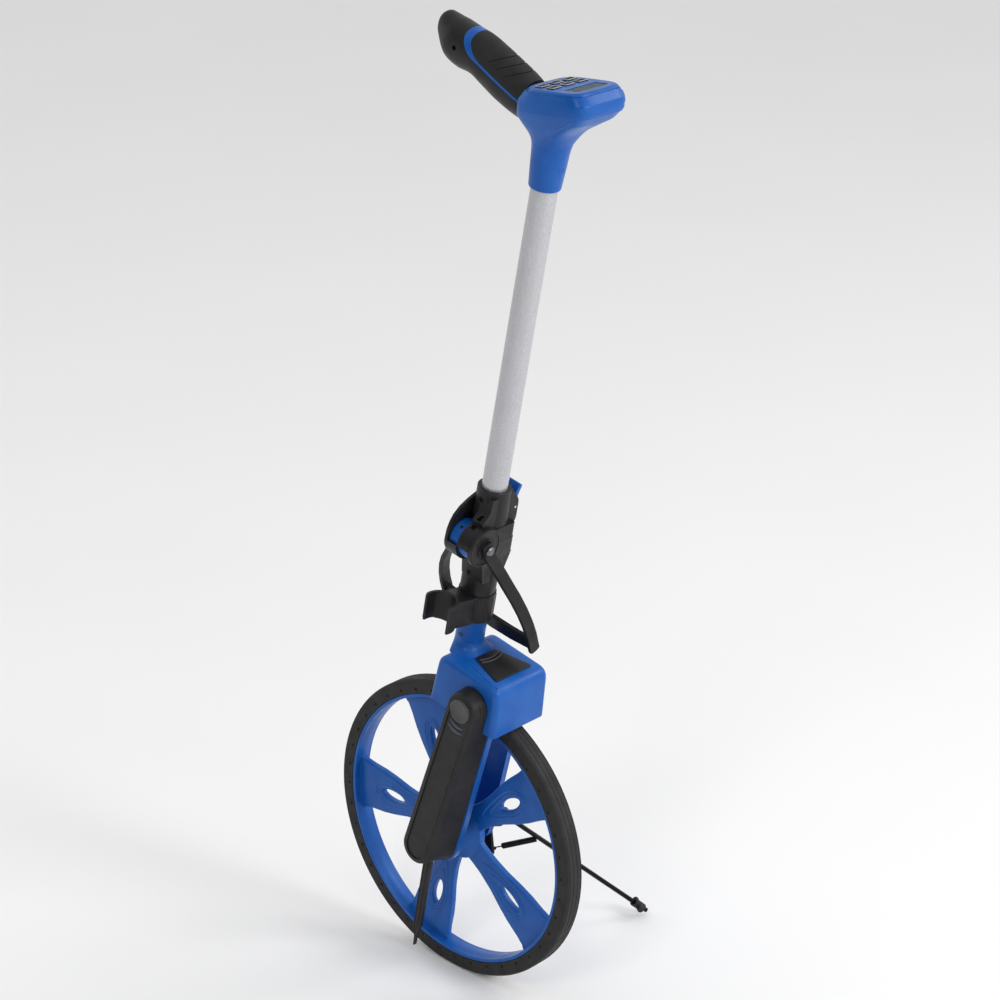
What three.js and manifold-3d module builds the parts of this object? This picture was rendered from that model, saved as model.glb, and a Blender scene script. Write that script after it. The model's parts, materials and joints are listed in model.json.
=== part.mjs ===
// Digital measuring wheel with a side-folding mast, standing on its wheel and side stand.
// Millimetres, +Z up. The origin is the point of the ground under the wheel's centre,
// +X is the way the wheel rolls and +Y points to the side that carries the stand.
import * as THREE from 'three';
import { mergeVertices } from 'three/addons/utils/BufferGeometryUtils.js';
import Module from 'manifold-3d';

const wasm = await Module();
wasm.setup();

// ---------- driving dimensions ----------
const DEG = Math.PI / 180;
const GAP = 0.3;                              // clearance between neighbouring pieces

const CIRCUMFERENCE = 1000;                   // one metre of ground for each turn
const WHEEL_R = CIRCUMFERENCE / (2 * Math.PI);
const TYRE_HALF = 10.4;
const RIM_R = 144;
const RIM_WALL = 3.6;
const WHEEL_SEGMENTS = 60;
const SPOKES = 5;
const FIRST_SPOKE = 36 * DEG;
const HUB_HALF = 17;
const BEARING_R = 11;
const BEARING_W = 7;
const AXLE_R = 4;

const FRAME_TILT = 11.384 * DEG;              // forward lean of the mast on its stand
const MAST_U = -26.6;                         // mast axis behind the axle
const TUBE_R = 12.5;
const TUBE_WALL = 1.3;
const SOCKET_R = TUBE_R + GAP;

const LEG_IN = 22;                            // fork legs, inner and outer faces
const LEG_OUT = 29;
const HOUSING_HALF = 37;
const HOUSING_BASE = 155;
const HOUSING_TOP = 208;
const COVER_TOP_U = 22;                       // upper round end of the arm cover
const COVER_TOP_W = 178;
const COVER_FACE = 54.5;
const NECK_R = 14.4;
const NECK_TOP = 243.3;
const COLLAR_TOP = 273.3;

const HINGE_V = -22;                          // mast hinge axis, parallel to u
const HINGE_W = 336.5;
const HINGE_MID = -24.75;
const HINGE_HALF = 17.25;
const HINGE_BOSS = 1.5;
const PLATE_INNER = HINGE_MID - 14.25;        // inner face of the upper bracket's side plate
const DISC_INNER = HINGE_MID + 13.05;         // inner face of the lower bracket's side disc
const EAR_STEP = -26.2;                       // the lower ear ends and the upper ear begins here
const DRUM_R = 17;
const EAR_R = 20.5;
const DISC_R = 20;
const CLIP_RAISED = 5;
const FOLD_CLIP_V = -50.5;                    // where the folded tube lies in the clip

const UPPER_TUBE_BASE = 355.5;
const TUBE_TOP = 726;
const HEAD_SOCKET_BASE = 700.5;
const HEAD_HALF = 33;
const PANEL_SLOPE = 15.8 * DEG;               // display face against the mast's normal
const GRIP_RISE = 10.4 * DEG;

const STAND_R = 2.5;

// ---------- finishes ----------
const BLUE = { color: 0x2c67c9, roughness: 0.42, metalness: 0 };
const BLACK = { color: 0x252426, roughness: 0.5, metalness: 0 };
const RUBBER = { color: 0x2b2827, roughness: 0.85, metalness: 0 };
const SATIN_ALUMINIUM = { color: 0xc9c6c6, roughness: 0.34, metalness: 1 };
const STEEL = { color: 0x9a9a9c, roughness: 0.35, metalness: 1 };
const BLACK_STEEL = { color: 0x1c1c1e, roughness: 0.4, metalness: 0.6 };
const BOARD_GREEN = { color: 0x1f6b3f, roughness: 0.5, metalness: 0 };
const LCD_GREY = { color: 0x31494c, roughness: 0.12, metalness: 0 };
const CELL_RED = { color: 0x8d2f2a, roughness: 0.4, metalness: 0.2 };

// ---------- closed meshes, joined and cut ----------
function signedVolume(positions, index) {
  const corners = [new THREE.Vector3(), new THREE.Vector3(), new THREE.Vector3()];
  let volume = 0;
  for (let i = 0; i < index.count; i += 3) {
    corners.forEach((corner, k) => corner.fromBufferAttribute(positions, index.getX(i + k)));
    volume += corners[0].dot(corners[1].clone().cross(corners[2])) / 6;
  }
  return volume;
}

function closed(geometry) {
  const bare = geometry.clone();
  bare.deleteAttribute('normal');
  bare.deleteAttribute('uv');
  const merged = mergeVertices(bare, 1e-4);
  if (signedVolume(merged.attributes.position, merged.index) < 0) merged.index.array.reverse();
  return merged;
}

function toManifold(geometry) {
  const merged = closed(geometry);
  return new wasm.Manifold(new wasm.Mesh({
    numProp: 3,
    vertProperties: new Float32Array(merged.attributes.position.array),
    triVerts: new Uint32Array(merged.index.array),
  }));
}

function toGeometry(manifold) {
  const mesh = manifold.getMesh();
  const geometry = new THREE.BufferGeometry();
  geometry.setAttribute('position', new THREE.BufferAttribute(new Float32Array(mesh.vertProperties), 3));
  geometry.setIndex(new THREE.BufferAttribute(new Uint32Array(mesh.triVerts), 1));
  return geometry;
}

const combine = (method) => (first, ...rest) =>
  toGeometry(rest.reduce((solid, next) => solid[method](toManifold(next)), toManifold(first)));
const join = combine('add');
const cut = combine('subtract');
const common = combine('intersect');

// ---------- shapes ----------
const AXES = {
  u: new THREE.Vector3(1, 0, 0),
  v: new THREE.Vector3(0, 1, 0),
  w: new THREE.Vector3(0, 0, 1),
};

// An outline drawn in the plane named by two axes, swept along the third from one level to another.
function prism(shape, plane, from, to, bevel = 0, curveSegments = 4) {
  const geometry = new THREE.ExtrudeGeometry(shape, {
    depth: to - from - 2 * bevel,
    bevelEnabled: bevel > 0,
    bevelThickness: bevel,
    bevelSize: bevel,
    bevelOffset: -bevel,
    bevelSegments: 1,
    curveSegments,
  });
  geometry.translate(0, 0, from + bevel);
  const along = { uv: 'w', uw: 'v', vw: 'u' }[plane];
  const basis = new THREE.Matrix4().makeBasis(AXES[plane[0]], AXES[plane[1]], AXES[along]);
  return closed(geometry.applyMatrix4(basis));
}

// A profile of [radius, distance along the axis] turned about the named axis.
function turned(profile, axis, segments = 20, at = [0, 0, 0]) {
  const geometry = new THREE.LatheGeometry(profile.map(([r, a]) => new THREE.Vector2(r, a)), segments);
  if (axis === 'w') geometry.rotateX(Math.PI / 2);
  if (axis === 'u') geometry.rotateZ(-Math.PI / 2);
  geometry.translate(...at);
  return closed(geometry);
}

const disc = (radius, axis, from, to, at, segments) =>
  turned([[0, from], [radius, from], [radius, to], [0, to]], axis, segments, at);

const sleeve = (inner, outer, axis, from, to, at, segments) =>
  turned([[inner, from], [outer, from], [outer, to], [inner, to], [inner, from]], axis, segments, at);

function block(u, v, w) {
  const geometry = new THREE.BoxGeometry(u[1] - u[0], v[1] - v[0], w[1] - w[0]);
  geometry.translate((u[0] + u[1]) / 2, (v[0] + v[1]) / 2, (w[0] + w[1]) / 2);
  return closed(geometry);
}

// A closed skin through rings of points; every ring has the same number of points.
function loft(rings) {
  const count = rings[0].length;
  const middle = (ring) => ring.reduce((sum, p) => sum.add(p), new THREE.Vector3()).divideScalar(count);
  const points = [...rings.flat(), middle(rings[0]), middle(rings.at(-1))];
  const faces = [];
  for (let ring = 0; ring < rings.length - 1; ring += 1) {
    for (let i = 0; i < count; i += 1) {
      const a = ring * count + i;
      const b = ring * count + (i + 1) % count;
      faces.push(a, b, b + count, a, b + count, a + count);
    }
  }
  const last = (rings.length - 1) * count;
  for (let i = 0; i < count; i += 1) {
    const next = (i + 1) % count;
    faces.push(points.length - 2, next, i, points.length - 1, last + i, last + next);
  }
  const geometry = new THREE.BufferGeometry().setFromPoints(points);
  geometry.setIndex(faces);
  return closed(geometry);
}

// A ring between an ellipse (power 2) and a rectangle (high power), half sizes a and b.
function ovalRing(count, power, a, b, place) {
  return Array.from({ length: count }, (_, i) => {
    const angle = (i / count) * 2 * Math.PI;
    const bend = (value) => Math.sign(value) * Math.abs(value) ** (2 / power);
    return place(a * bend(Math.cos(angle)), b * bend(Math.sin(angle)));
  });
}

// The outline of two circles and their outer tangents.
function capsule(x0, y0, r0, x1, y1, r1) {
  const direction = Math.atan2(y1 - y0, x1 - x0);
  const spread = Math.acos((r0 - r1) / Math.hypot(x1 - x0, y1 - y0));
  const shape = new THREE.Shape();
  shape.absarc(x0, y0, r0, direction + spread, direction - spread + 2 * Math.PI, false);
  shape.absarc(x1, y1, r1, direction - spread, direction + spread, false);
  shape.closePath();
  return shape;
}

function polygon(points) {
  return new THREE.Shape(points.map(([x, y]) => new THREE.Vector2(x, y)));
}

// A polygon whose corners are rounded by the third number given with each corner.
function rounded(corners) {
  const shape = new THREE.Shape();
  corners.forEach(([x, y, radius], i) => {
    const corner = new THREE.Vector2(x, y);
    const toward = (other) => {
      const end = new THREE.Vector2(other[0], other[1]);
      return corner.clone().lerp(end, radius / corner.distanceTo(end));
    };
    const enter = toward(corners.at(i - 1));
    const leave = toward(corners[(i + 1) % corners.length]);
    if (i === 0) shape.moveTo(enter.x, enter.y);
    else shape.lineTo(enter.x, enter.y);
    if (radius > 0) shape.quadraticCurveTo(x, y, leave.x, leave.y);
  });
  shape.closePath();
  return shape;
}

const rectangle = (cx, cy, halfX, halfY, radius) => rounded([
  [cx - halfX, cy - halfY, radius], [cx + halfX, cy - halfY, radius],
  [cx + halfX, cy + halfY, radius], [cx - halfX, cy + halfY, radius],
]);

function hexagon(acrossFlats) {
  const r = acrossFlats / Math.sqrt(3);
  const corner = (angle) => [r * Math.cos(angle), r * Math.sin(angle)];
  return polygon([0, 60, 120, 180, 240, 300].map((degrees) => corner(degrees * DEG)));
}

function piece(group, name, geometry, finish) {
  const mesh = new THREE.Mesh(geometry, new THREE.MeshStandardMaterial(finish));
  mesh.name = name;
  group.add(mesh);
}

// ---------- groups ----------
const root = new THREE.Group();
const wheel = new THREE.Group();              // x forward, y along the axle, z up
wheel.position.z = WHEEL_R;
const frame = new THREE.Group();              // u forward, v along the axle, w up the mast
frame.position.z = WHEEL_R;
frame.rotation.y = FRAME_TILT;
root.add(wheel, frame);

// ---------- wheel ----------
function tyre() {
  const tread = WHEEL_R / Math.cos(Math.PI / WHEEL_SEGMENTS);
  const bore = (RIM_R + GAP) / Math.cos(Math.PI / WHEEL_SEGMENTS);
  const bevel = 1.8;
  const geometry = turned([
    [bore, -TYRE_HALF], [tread - bevel, -TYRE_HALF], [tread, bevel - TYRE_HALF],
    [tread, TYRE_HALF - bevel], [tread - bevel, TYRE_HALF], [bore, TYRE_HALF], [bore, -TYRE_HALF],
  ], 'v', WHEEL_SEGMENTS);
  return geometry.rotateY(Math.PI / WHEEL_SEGMENTS);
}

function spokeShape() {
  const shape = new THREE.Shape();
  shape.moveTo(20, -13);
  shape.quadraticCurveTo(48, -11, 75, -18);
  shape.quadraticCurveTo(110, -27, RIM_R - 6, -31);
  shape.lineTo(RIM_R - 6, 31);
  shape.quadraticCurveTo(110, 27, 75, 18);
  shape.quadraticCurveTo(48, 11, 20, 13);
  shape.closePath();
  const eye = new THREE.Path();
  eye.absellipse(91, 0, 16, 5.7, 0, 2 * Math.PI, true);
  shape.holes.push(eye);
  return shape;
}

function rim() {
  const band = sleeve(RIM_R - RIM_WALL, RIM_R, 'v', -TYRE_HALF, TYRE_HALF, [0, 0, 0], WHEEL_SEGMENTS);
  const seat = BEARING_R + GAP;
  const step = HUB_HALF - BEARING_W - 0.4;
  const hub = turned([
    [seat, -HUB_HALF], [19, -HUB_HALF], [25, -12], [33, -4.2], [33, 4.2], [25, 12], [19, HUB_HALF],
    [seat, HUB_HALF], [seat, step], [8, step], [8, -step], [seat, -step], [seat, -HUB_HALF],
  ], 'v', 24);
  const spokes = Array.from({ length: SPOKES }, (_, i) => {
    const spoke = prism(spokeShape(), 'uw', -3.5, 3.5, 0, 5);
    return spoke.rotateY(-(FIRST_SPOKE + (i * 2 * Math.PI) / SPOKES));
  });
  const bore = disc(8, 'v', -HUB_HALF, HUB_HALF, [0, 0, 0], 20);
  return cut(join(band, hub, ...spokes), bore);
}

piece(wheel, 'tyre', tyre(), RUBBER);
piece(wheel, 'wheel_rim', rim(), BLUE);
for (const [side, sign] of [['near', -1], ['far', 1]]) {
  const middle = sign * (HUB_HALF - BEARING_W / 2 - 0.1);
  piece(wheel, `bearing_${side}`,
    sleeve(AXLE_R + GAP, BEARING_R, 'v', middle - BEARING_W / 2, middle + BEARING_W / 2), STEEL);
}
piece(wheel, 'encoder_ring', sleeve(12, 18.5, 'v', -HUB_HALF - 3.3, -HUB_HALF - GAP), BLACK);

// ---------- axle, fork legs and housing ----------
const POINTER_V = [-40, -36];
piece(frame, 'axle', disc(AXLE_R, 'v', -46.5, 38.5, [0, 0, 0], 24), STEEL);
for (const [side, from, to] of [['near', -46, -40.3], ['far', 32.9, 38]]) {
  const nut = prism(hexagon(13), 'uw', from, to);
  const bore = disc(AXLE_R + GAP, 'v', from - 1, to + 1, [0, 0, 0], 24);
  piece(frame, `axle_nut_${side}`, cut(nut, bore), STEEL);
}
const spacers = {
  near: [GAP - LEG_IN, -HUB_HALF - GAP],
  far: [HUB_HALF + GAP, LEG_IN - GAP],
  pointer: [POINTER_V[1] + GAP, -LEG_OUT - GAP],
};
for (const [name, [from, to]] of Object.entries(spacers)) {
  piece(frame, `spacer_${name}`, sleeve(AXLE_R + GAP, 7, 'v', from, to, [0, 0, 0], 24), STEEL);
}

function forkLeg(outline, from, to, window) {
  const bore = disc(AXLE_R + GAP, 'v', from - 1, to + 1, [0, 0, 0], 24);
  const above = block([-80, 120], [from - 1, to + 1], [175, 260]);
  const hole = window ? prism(capsule(12, 26, 5, 16, 40, 5), 'uw', from - 1, to + 1) : bore;
  return cut(prism(outline, 'uw', from, to, 0, 8), bore, above, hole);
}

piece(frame, 'fork_leg_near',
  forkLeg(capsule(0, 0, 26.5, COVER_TOP_U, COVER_TOP_W, 22), -LEG_OUT, -LEG_IN, true), BLUE);
piece(frame, 'fork_leg_far', forkLeg(capsule(0, 0, 22, 8, COVER_TOP_W, 24), LEG_IN, LEG_OUT, false), BLUE);

function housing() {
  const outline = rounded([
    [-35.5, HOUSING_BASE, 0], [53, HOUSING_BASE, 0], [48.5, HOUSING_TOP, 9], [-31, HOUSING_TOP, 9],
  ]);
  const shell = prism(outline, 'uw', -HOUSING_HALF, HOUSING_HALF, 5);
  const neck = turned([
    [0, HOUSING_TOP - 6], [20, HOUSING_TOP - 6], [20, HOUSING_TOP + 1], [16, HOUSING_TOP + 5],
    [NECK_R, HOUSING_TOP + 11], [NECK_R, NECK_TOP], [0, NECK_TOP],
  ], 'w', 28, [MAST_U, 0, 0]);
  const inside = HOUSING_HALF - 4;
  const cavity = block([-27, 45], [-inside, inside], [HOUSING_BASE - 9, HOUSING_TOP - 3.5]);
  const behind = block([-60, -34], [-40, 40], [195, HOUSING_TOP + 8]);
  const bore = disc(SOCKET_R, 'w', HOUSING_TOP - 10, NECK_TOP + 1, [MAST_U, 0, 0], 32);
  const screwHole = disc(3.2, 'v', -20, -10, [MAST_U, 0, 225], 12);
  const tyreRoom = disc(WHEEL_R + 3, 'v', -TYRE_HALF - 3, TYRE_HALF + 3, [0, 0, 0], 60);
  return cut(join(shell, neck), cavity, bore, screwHole, behind, tyreRoom);
}

piece(frame, 'fender_housing', housing(), BLUE);

const LABEL_BASE = HOUSING_TOP + GAP;
const labelOutline = rounded([[-4, -14, 2], [36, -25, 3], [36, 25, 3], [-4, 14, 2]]);
piece(frame, 'label_panel', prism(labelOutline, 'uv', LABEL_BASE, LABEL_BASE + 1.2), BLACK);

// ---------- arm cover ----------
function capsuleRing(v, x0, y0, r0, x1, y1, r1) {
  const direction = Math.atan2(y1 - y0, x1 - x0);
  const half = 11;
  const arc = (x, y, r, start) => Array.from({ length: half }, (_, i) => {
    const angle = start + (Math.PI * i) / (half - 1);
    return new THREE.Vector3(x + r * Math.cos(angle), v, y + r * Math.sin(angle));
  });
  return [...arc(x0, y0, r0, direction + Math.PI / 2), ...arc(x1, y1, r1, direction - Math.PI / 2)];
}

function armCover() {
  const back = -LEG_OUT - GAP;
  const outside = loft([
    capsuleRing(back, 0, 0, 24.3, COVER_TOP_U, COVER_TOP_W, 20.5),
    capsuleRing(-COVER_FACE + 2.5, -5.6, -6, 18.5, COVER_TOP_U, COVER_TOP_W, 18),
    capsuleRing(-COVER_FACE, -6, -7, 16.3, COVER_TOP_U, COVER_TOP_W, 16.3),
  ]);
  const inside = loft([
    capsuleRing(back + 1, 0, 0, 21.8, COVER_TOP_U, COVER_TOP_W, 18),
    capsuleRing(-COVER_FACE + 2.6, -5.6, -6, 15.5, COVER_TOP_U, COVER_TOP_W, 15.3),
  ]);
  const overHousing = block([-60, 90], [-HOUSING_HALF - GAP, 0], [HOUSING_BASE - GAP, 260]);
  const pointerSlot = block([-6.2, 6.2], [-41, -35], [-40, -10]);
  return cut(outside, inside, overHousing, pointerSlot);
}

piece(frame, 'arm_cover', armCover(), BLACK);
piece(frame, 'arm_cover_cap', turned([
  [0, -COVER_FACE - 2], [11, -COVER_FACE - 2], [12.4, -COVER_FACE - 1], [12.4, -COVER_FACE - GAP],
  [0, -COVER_FACE - GAP],
], 'v', 28, [COVER_TOP_U, 0, COVER_TOP_W]), BLACK);
piece(frame, 'sensor_board', block([6, 22], [-31.2, -LEG_OUT - GAP], [17, 52]), BOARD_GREEN);

function pointer() {
  const outline = polygon([
    [-5.2, 0], [5.2, 0], [4.7, -110], [1.4, -122], [0.5, -136.5], [-0.9, -136.5], [-1.8, -122], [-5, -110],
  ]);
  const blade = prism(outline, 'uw', ...POINTER_V);
  const eye = disc(9, 'v', ...POINTER_V, [0, 0, 0], 24);
  const bore = disc(AXLE_R + GAP, 'v', -50, -30, [0, 0, 0], 24);
  return cut(join(blade, eye), bore);
}

piece(frame, 'pointer', pointer(), BLACK);

// ---------- lower mast, clip and hinge ----------
const mastAt = [MAST_U, 0, 0];
piece(frame, 'lower_tube', sleeve(TUBE_R - TUBE_WALL, TUBE_R, 'w', HOUSING_TOP - 3, 317, mastAt, 32),
  SATIN_ALUMINIUM);

function screwHead(axisAt, outerFace) {
  return turned([[0, outerFace], [2, outerFace], [2.8, outerFace + 0.7], [2.8, outerFace + 1.6],
    [0, outerFace + 1.6]], 'v', 16, axisAt);
}

piece(frame, 'neck_screw', screwHead([MAST_U, 0, 225], -NECK_R - 0.1), BLACK_STEEL);

function clipCollar() {
  const from = NECK_TOP + GAP;
  const base = from + CLIP_RAISED;
  const top = COLLAR_TOP + CLIP_RAISED;
  const nestR = TUBE_R + 1.7;
  const ring = sleeve(SOCKET_R, 18.5, 'w', from, COLLAR_TOP, mastAt, 32);
  const jawOuter = disc(nestR + 2.8, 'w', base, top, [MAST_U, FOLD_CLIP_V, 0], 28);
  const bridgeShape = polygon([
    [FOLD_CLIP_V + 4, base], [-18.6, from], [-14, from], [-14, COLLAR_TOP], [-18.6, COLLAR_TOP],
    [FOLD_CLIP_V + 4, top],
  ]);
  const bridge = prism(bridgeShape, 'vw', MAST_U - 12, MAST_U + 12);
  const handleRest = block([MAST_U - 25, MAST_U + 25], [14.4, 30], [from - 1, from + 5]);
  const nest = disc(nestR, 'w', from - 1, top + 1, [MAST_U, FOLD_CLIP_V, 0], 28);
  const mouth = block([MAST_U - nestR, MAST_U + nestR], [-80, FOLD_CLIP_V], [base - 1, top + 1]);
  const tipCut = block([-80, 20], [-80, FOLD_CLIP_V - 4.5], [base - 1, top + 1]);
  const bore = disc(SOCKET_R, 'w', from - 1, top + 1, mastAt, 32);
  const jaws = cut(join(jawOuter, bridge), nest, mouth, tipCut);
  return cut(join(ring, jaws), bore, handleRest);
}

piece(frame, 'storage_clip', clipCollar(), BLACK);

const HINGE_AT = [0, HINGE_V, HINGE_W];
const PIN_R = 4;
const PART_LINE = 0.25;
const LOWER_SEAM = HINGE_W - PART_LINE;
const UPPER_SEAM = HINGE_W + PART_LINE;
const DRUM_U = [PLATE_INNER + GAP, DISC_INNER - GAP];
const PLATE_OUTER = HINGE_MID - HINGE_HALF;
const DISC_OUTER = HINGE_MID + HINGE_HALF;

const hingeDisc = (radius, from, to, segments = 32) => disc(radius, 'u', from, to, HINGE_AT, segments);

function lowerBracket() {
  const base = COLLAR_TOP + GAP;
  const stem = turned([[0, base], [17.5, base], [17.5, 314], [0, 314]], 'w', 28, mastAt);
  const outline = rounded([[DRUM_U[0], -18, 2], [-8.5, -18, 2], [-8.5, 20, 5], [DRUM_U[0], 20, 5]]);
  const body = prism(outline, 'uv', 318, LOWER_SEAM, 0, 3);
  const skirt = prism(polygon([[-19.5, HINGE_W - 18], [-15, 292], [10, 290], [20, 319]]), 'vw', -37.5, -10);
  const ear = hingeDisc(EAR_R, DRUM_U[0], EAR_STEP - PART_LINE);
  const side = hingeDisc(DISC_R, DISC_INNER, DISC_OUTER);
  const boss = hingeDisc(10, DISC_INNER, DISC_OUTER + HINGE_BOSS, 20);
  const above = block([-60, DISC_INNER], [-60, 20], [LOWER_SEAM, HINGE_W + 30]);
  const drumRoom = hingeDisc(DRUM_R + GAP, -60, DISC_INNER);
  const earRoom = hingeDisc(EAR_R + 0.6, EAR_STEP - PART_LINE, DISC_INNER);
  const plateSide = block([-60, 0], [-80, -6.2], [280, 380]);
  const platePocket = common(hingeDisc(37, -60, DRUM_U[0]), plateSide);
  const bore = disc(SOCKET_R, 'w', base - 1, 318, mastAt, 32);
  const well = disc(9, 'w', 310, HINGE_W + 1, [MAST_U, 4, 0], 16);
  const screwHole = disc(3.2, 'v', -22, -10, [MAST_U, 0, 298], 12);
  const pinHole = hingeDisc(PIN_R + GAP, -60, 0, 16);
  const whole = join(stem, body, skirt, ear, side, boss);
  return cut(whole, above, drumRoom, earRoom, platePocket, bore, well, screwHole, pinHole);
}

piece(frame, 'lower_bracket', lowerBracket(), BLACK);
piece(frame, 'lower_bracket_screw', screwHead([MAST_U, 0, 298], -17.6), BLACK_STEEL);
piece(frame, 'hinge_pin',
  hingeDisc(PIN_R, PLATE_OUTER - HINGE_BOSS, DISC_OUTER + HINGE_BOSS, 20), STEEL);
piece(frame, 'hinge_drum', sleeve(PIN_R + GAP, DRUM_R, 'u', ...DRUM_U, HINGE_AT, 32), BLUE);

// ---------- parts that fold with the upper mast ----------
const UPPER_TOP = 389;
const BRACKET_BACK = 18.5;
const LATCH_U = [MAST_U - 8, MAST_U + 8];
const LATCH_PIVOT = [22, 364];
const NOSE_U = [-25.4, -19.4];
const NOSE_W = [341.5, 345.5];

function upperBracket() {
  const stem = turned([[0, 348], [17.3, 348], [16.4, UPPER_TOP], [0, UPPER_TOP]], 'w', 28, mastAt);
  const outline = rounded([
    [PLATE_OUTER, -16, 0], [-8.5, -16, 2], [-8.5, BRACKET_BACK, 4], [PLATE_OUTER, BRACKET_BACK, 5],
  ]);
  const body = prism(outline, 'uv', UPPER_SEAM, 352, 0, 3);
  const backShape = polygon([[0, 350], [BRACKET_BACK, 350], [BRACKET_BACK, 368], [15, 380], [0, 380]]);
  const back = prism(backShape, 'vw', MAST_U - 9, MAST_U + 9);
  const webShape = polygon([
    [-25.5, 361], [-17.5, 370], [-15, 384], [-6, 384], [-6, UPPER_SEAM], [HINGE_V, UPPER_SEAM],
  ]);
  const web = prism(webShape, 'vw', EAR_STEP + PART_LINE, DRUM_U[1]);
  const ear = hingeDisc(EAR_R, EAR_STEP + PART_LINE, DRUM_U[1]);
  const ribShape = rounded([
    [8, 350, 0], [15, UPPER_SEAM + 2, 3], [25, 350, 4], [25, 372, 4], [12, UPPER_TOP, 1],
  ]);
  const ribSpans = [[LATCH_U[0] - 3.6, LATCH_U[0] - GAP], [LATCH_U[1] + GAP, LATCH_U[1] + 3.6]];
  const ribs = ribSpans.map(([from, to]) => prism(ribShape, 'vw', from, to, 0, 3));
  const flareShape = polygon([
    [-42.3, 339], [-41.5, 347], [-39, 355], [-35.3, 361.5], [-28.5, 368], [-18.5, 373.5],
    [-4, 379], [2, 379], [2, UPPER_SEAM], [HINGE_V, HINGE_W - 5],
  ]);
  const flare = prism(flareShape, 'vw', PLATE_OUTER, PLATE_INNER);
  const plateBoss = hingeDisc(10, PLATE_OUTER - HINGE_BOSS, PLATE_INNER, 20);
  const plate = join(hingeDisc(EAR_R, PLATE_OUTER, PLATE_INNER), plateBoss, flare);
  const below = block([PLATE_INNER, 20], [-60, 40], [200, UPPER_SEAM]);
  const drumRoom = hingeDisc(DRUM_R + GAP, PLATE_INNER, 0);
  const earRoom = hingeDisc(EAR_R + 0.6, PLATE_INNER, EAR_STEP + PART_LINE);
  const discRoom = hingeDisc(DISC_R + 0.6, DRUM_U[1], 10);
  const bore = disc(SOCKET_R, 'w', UPPER_TUBE_BASE, UPPER_TOP + 1, mastAt, 32);
  const noseRoom = block([NOSE_U[0] - 0.5, NOSE_U[1] + 0.5], [-12, 30], [NOSE_W[0] - 3.6, NOSE_W[1] + 1.5]);
  const window = block([-22.8, -17.2], [-31.5, -25.2], [353.6, 375]);
  const latchHole = disc(1.8, 'u', -15, 15, [MAST_U, ...LATCH_PIVOT], 12);
  const screwHole = disc(3.2, 'v', -22, -10, [MAST_U, 0, 379], 12);
  const pinHole = hingeDisc(PIN_R + GAP, -60, 0, 16);
  const whole = join(stem, body, back, web, ear, plate, ...ribs);
  const cleared = cut(whole, below, drumRoom, earRoom, discRoom, bore, noseRoom);
  return cut(cleared, window, latchHole, screwHole, pinHole);
}

piece(frame, 'upper_bracket', upperBracket(), BLACK);
piece(frame, 'upper_bracket_screw', screwHead([MAST_U, 0, 379], -16.6), BLACK_STEEL);

function latch() {
  const lever = rounded([
    [19.6, NOSE_W[0], 1], [24, NOSE_W[0], 2], [24.4, 366, 4], [31.5, 384, 1.5], [28, 386, 1.5],
    [19.6, 370, 4],
  ]);
  const nose = block(NOSE_U, [HINGE_V + DRUM_R - GAP, 21], NOSE_W);
  const hole = disc(1.8, 'u', -15, 15, [MAST_U, ...LATCH_PIVOT], 12);
  return cut(join(prism(lever, 'vw', ...LATCH_U, 0.6), nose), hole);
}

piece(frame, 'release_latch', latch(), BLUE);
piece(frame, 'latch_pin', disc(1.5, 'u', -11.5, 11.5, [MAST_U, ...LATCH_PIVOT], 12), STEEL);

// ---------- carry handle ----------
const BAIL_ANGLE = 23.5 * DEG;                // hangs against the back of the neck
const BAIL_INNER = HINGE_HALF + HINGE_BOSS + GAP;
const BAIL_REACH = 122;
const BAIL_HALF = 61;
const BAIL_STRAP = 18;

// The palm strap, bowed downwards at its middle.
function strapShape() {
  const end = BAIL_HALF - 0.5;
  const top = BAIL_REACH - BAIL_STRAP;
  const strap = new THREE.Shape();
  strap.moveTo(-end, top);
  strap.quadraticCurveTo(0, top + 7, end, top);
  strap.lineTo(end, BAIL_REACH - 3);
  strap.lineTo(end - 8, BAIL_REACH);
  strap.quadraticCurveTo(0, BAIL_REACH + 12, 8 - end, BAIL_REACH);
  strap.lineTo(-end, BAIL_REACH - 3);
  strap.closePath();
  return strap;
}

function carryHandle() {
  // x across, y down the handle, z through it; the pivot axis is x at the origin
  const arm = (side) => {
    const line = new THREE.Shape();
    line.moveTo(BAIL_INNER, -8);
    line.lineTo(BAIL_INNER, 10);
    line.quadraticCurveTo(BAIL_INNER + 8, 21, 36, 39);
    line.quadraticCurveTo(BAIL_HALF - 6, 68, BAIL_HALF - 4, 98);
    line.lineTo(BAIL_HALF - 4, BAIL_REACH);
    line.lineTo(BAIL_HALF, BAIL_REACH);
    line.lineTo(BAIL_HALF, 98);
    line.quadraticCurveTo(BAIL_HALF - 2, 66, 40, 36);
    line.quadraticCurveTo(BAIL_INNER + 12, 18, BAIL_INNER + 4, 8);
    line.lineTo(BAIL_INNER + 4, -8);
    line.closePath();
    return closed(prism(line, 'uv', -6, 6).scale(side, 1, 1));
  };
  const arms = [arm(-1), arm(1)];
  const strap = closed(prism(strapShape(), 'uv', -2, 2));
  const outline = rounded([[-8, -8, 5], [8, -8, 5], [8, BAIL_REACH, 7], [-8, BAIL_REACH, 7]]);
  const envelope = prism(outline, 'vw', -70, 70);
  envelope.applyMatrix4(new THREE.Matrix4().makeBasis(AXES.u, AXES.w, AXES.v));
  const hole = disc(2.3, 'u', -70, 70, [0, 0, 0], 16);
  const bail = cut(join(common(join(...arms), envelope), strap), hole);
  bail.rotateX(-Math.PI / 2 + BAIL_ANGLE);
  return bail.translate(HINGE_MID, HINGE_V, HINGE_W);
}

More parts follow.
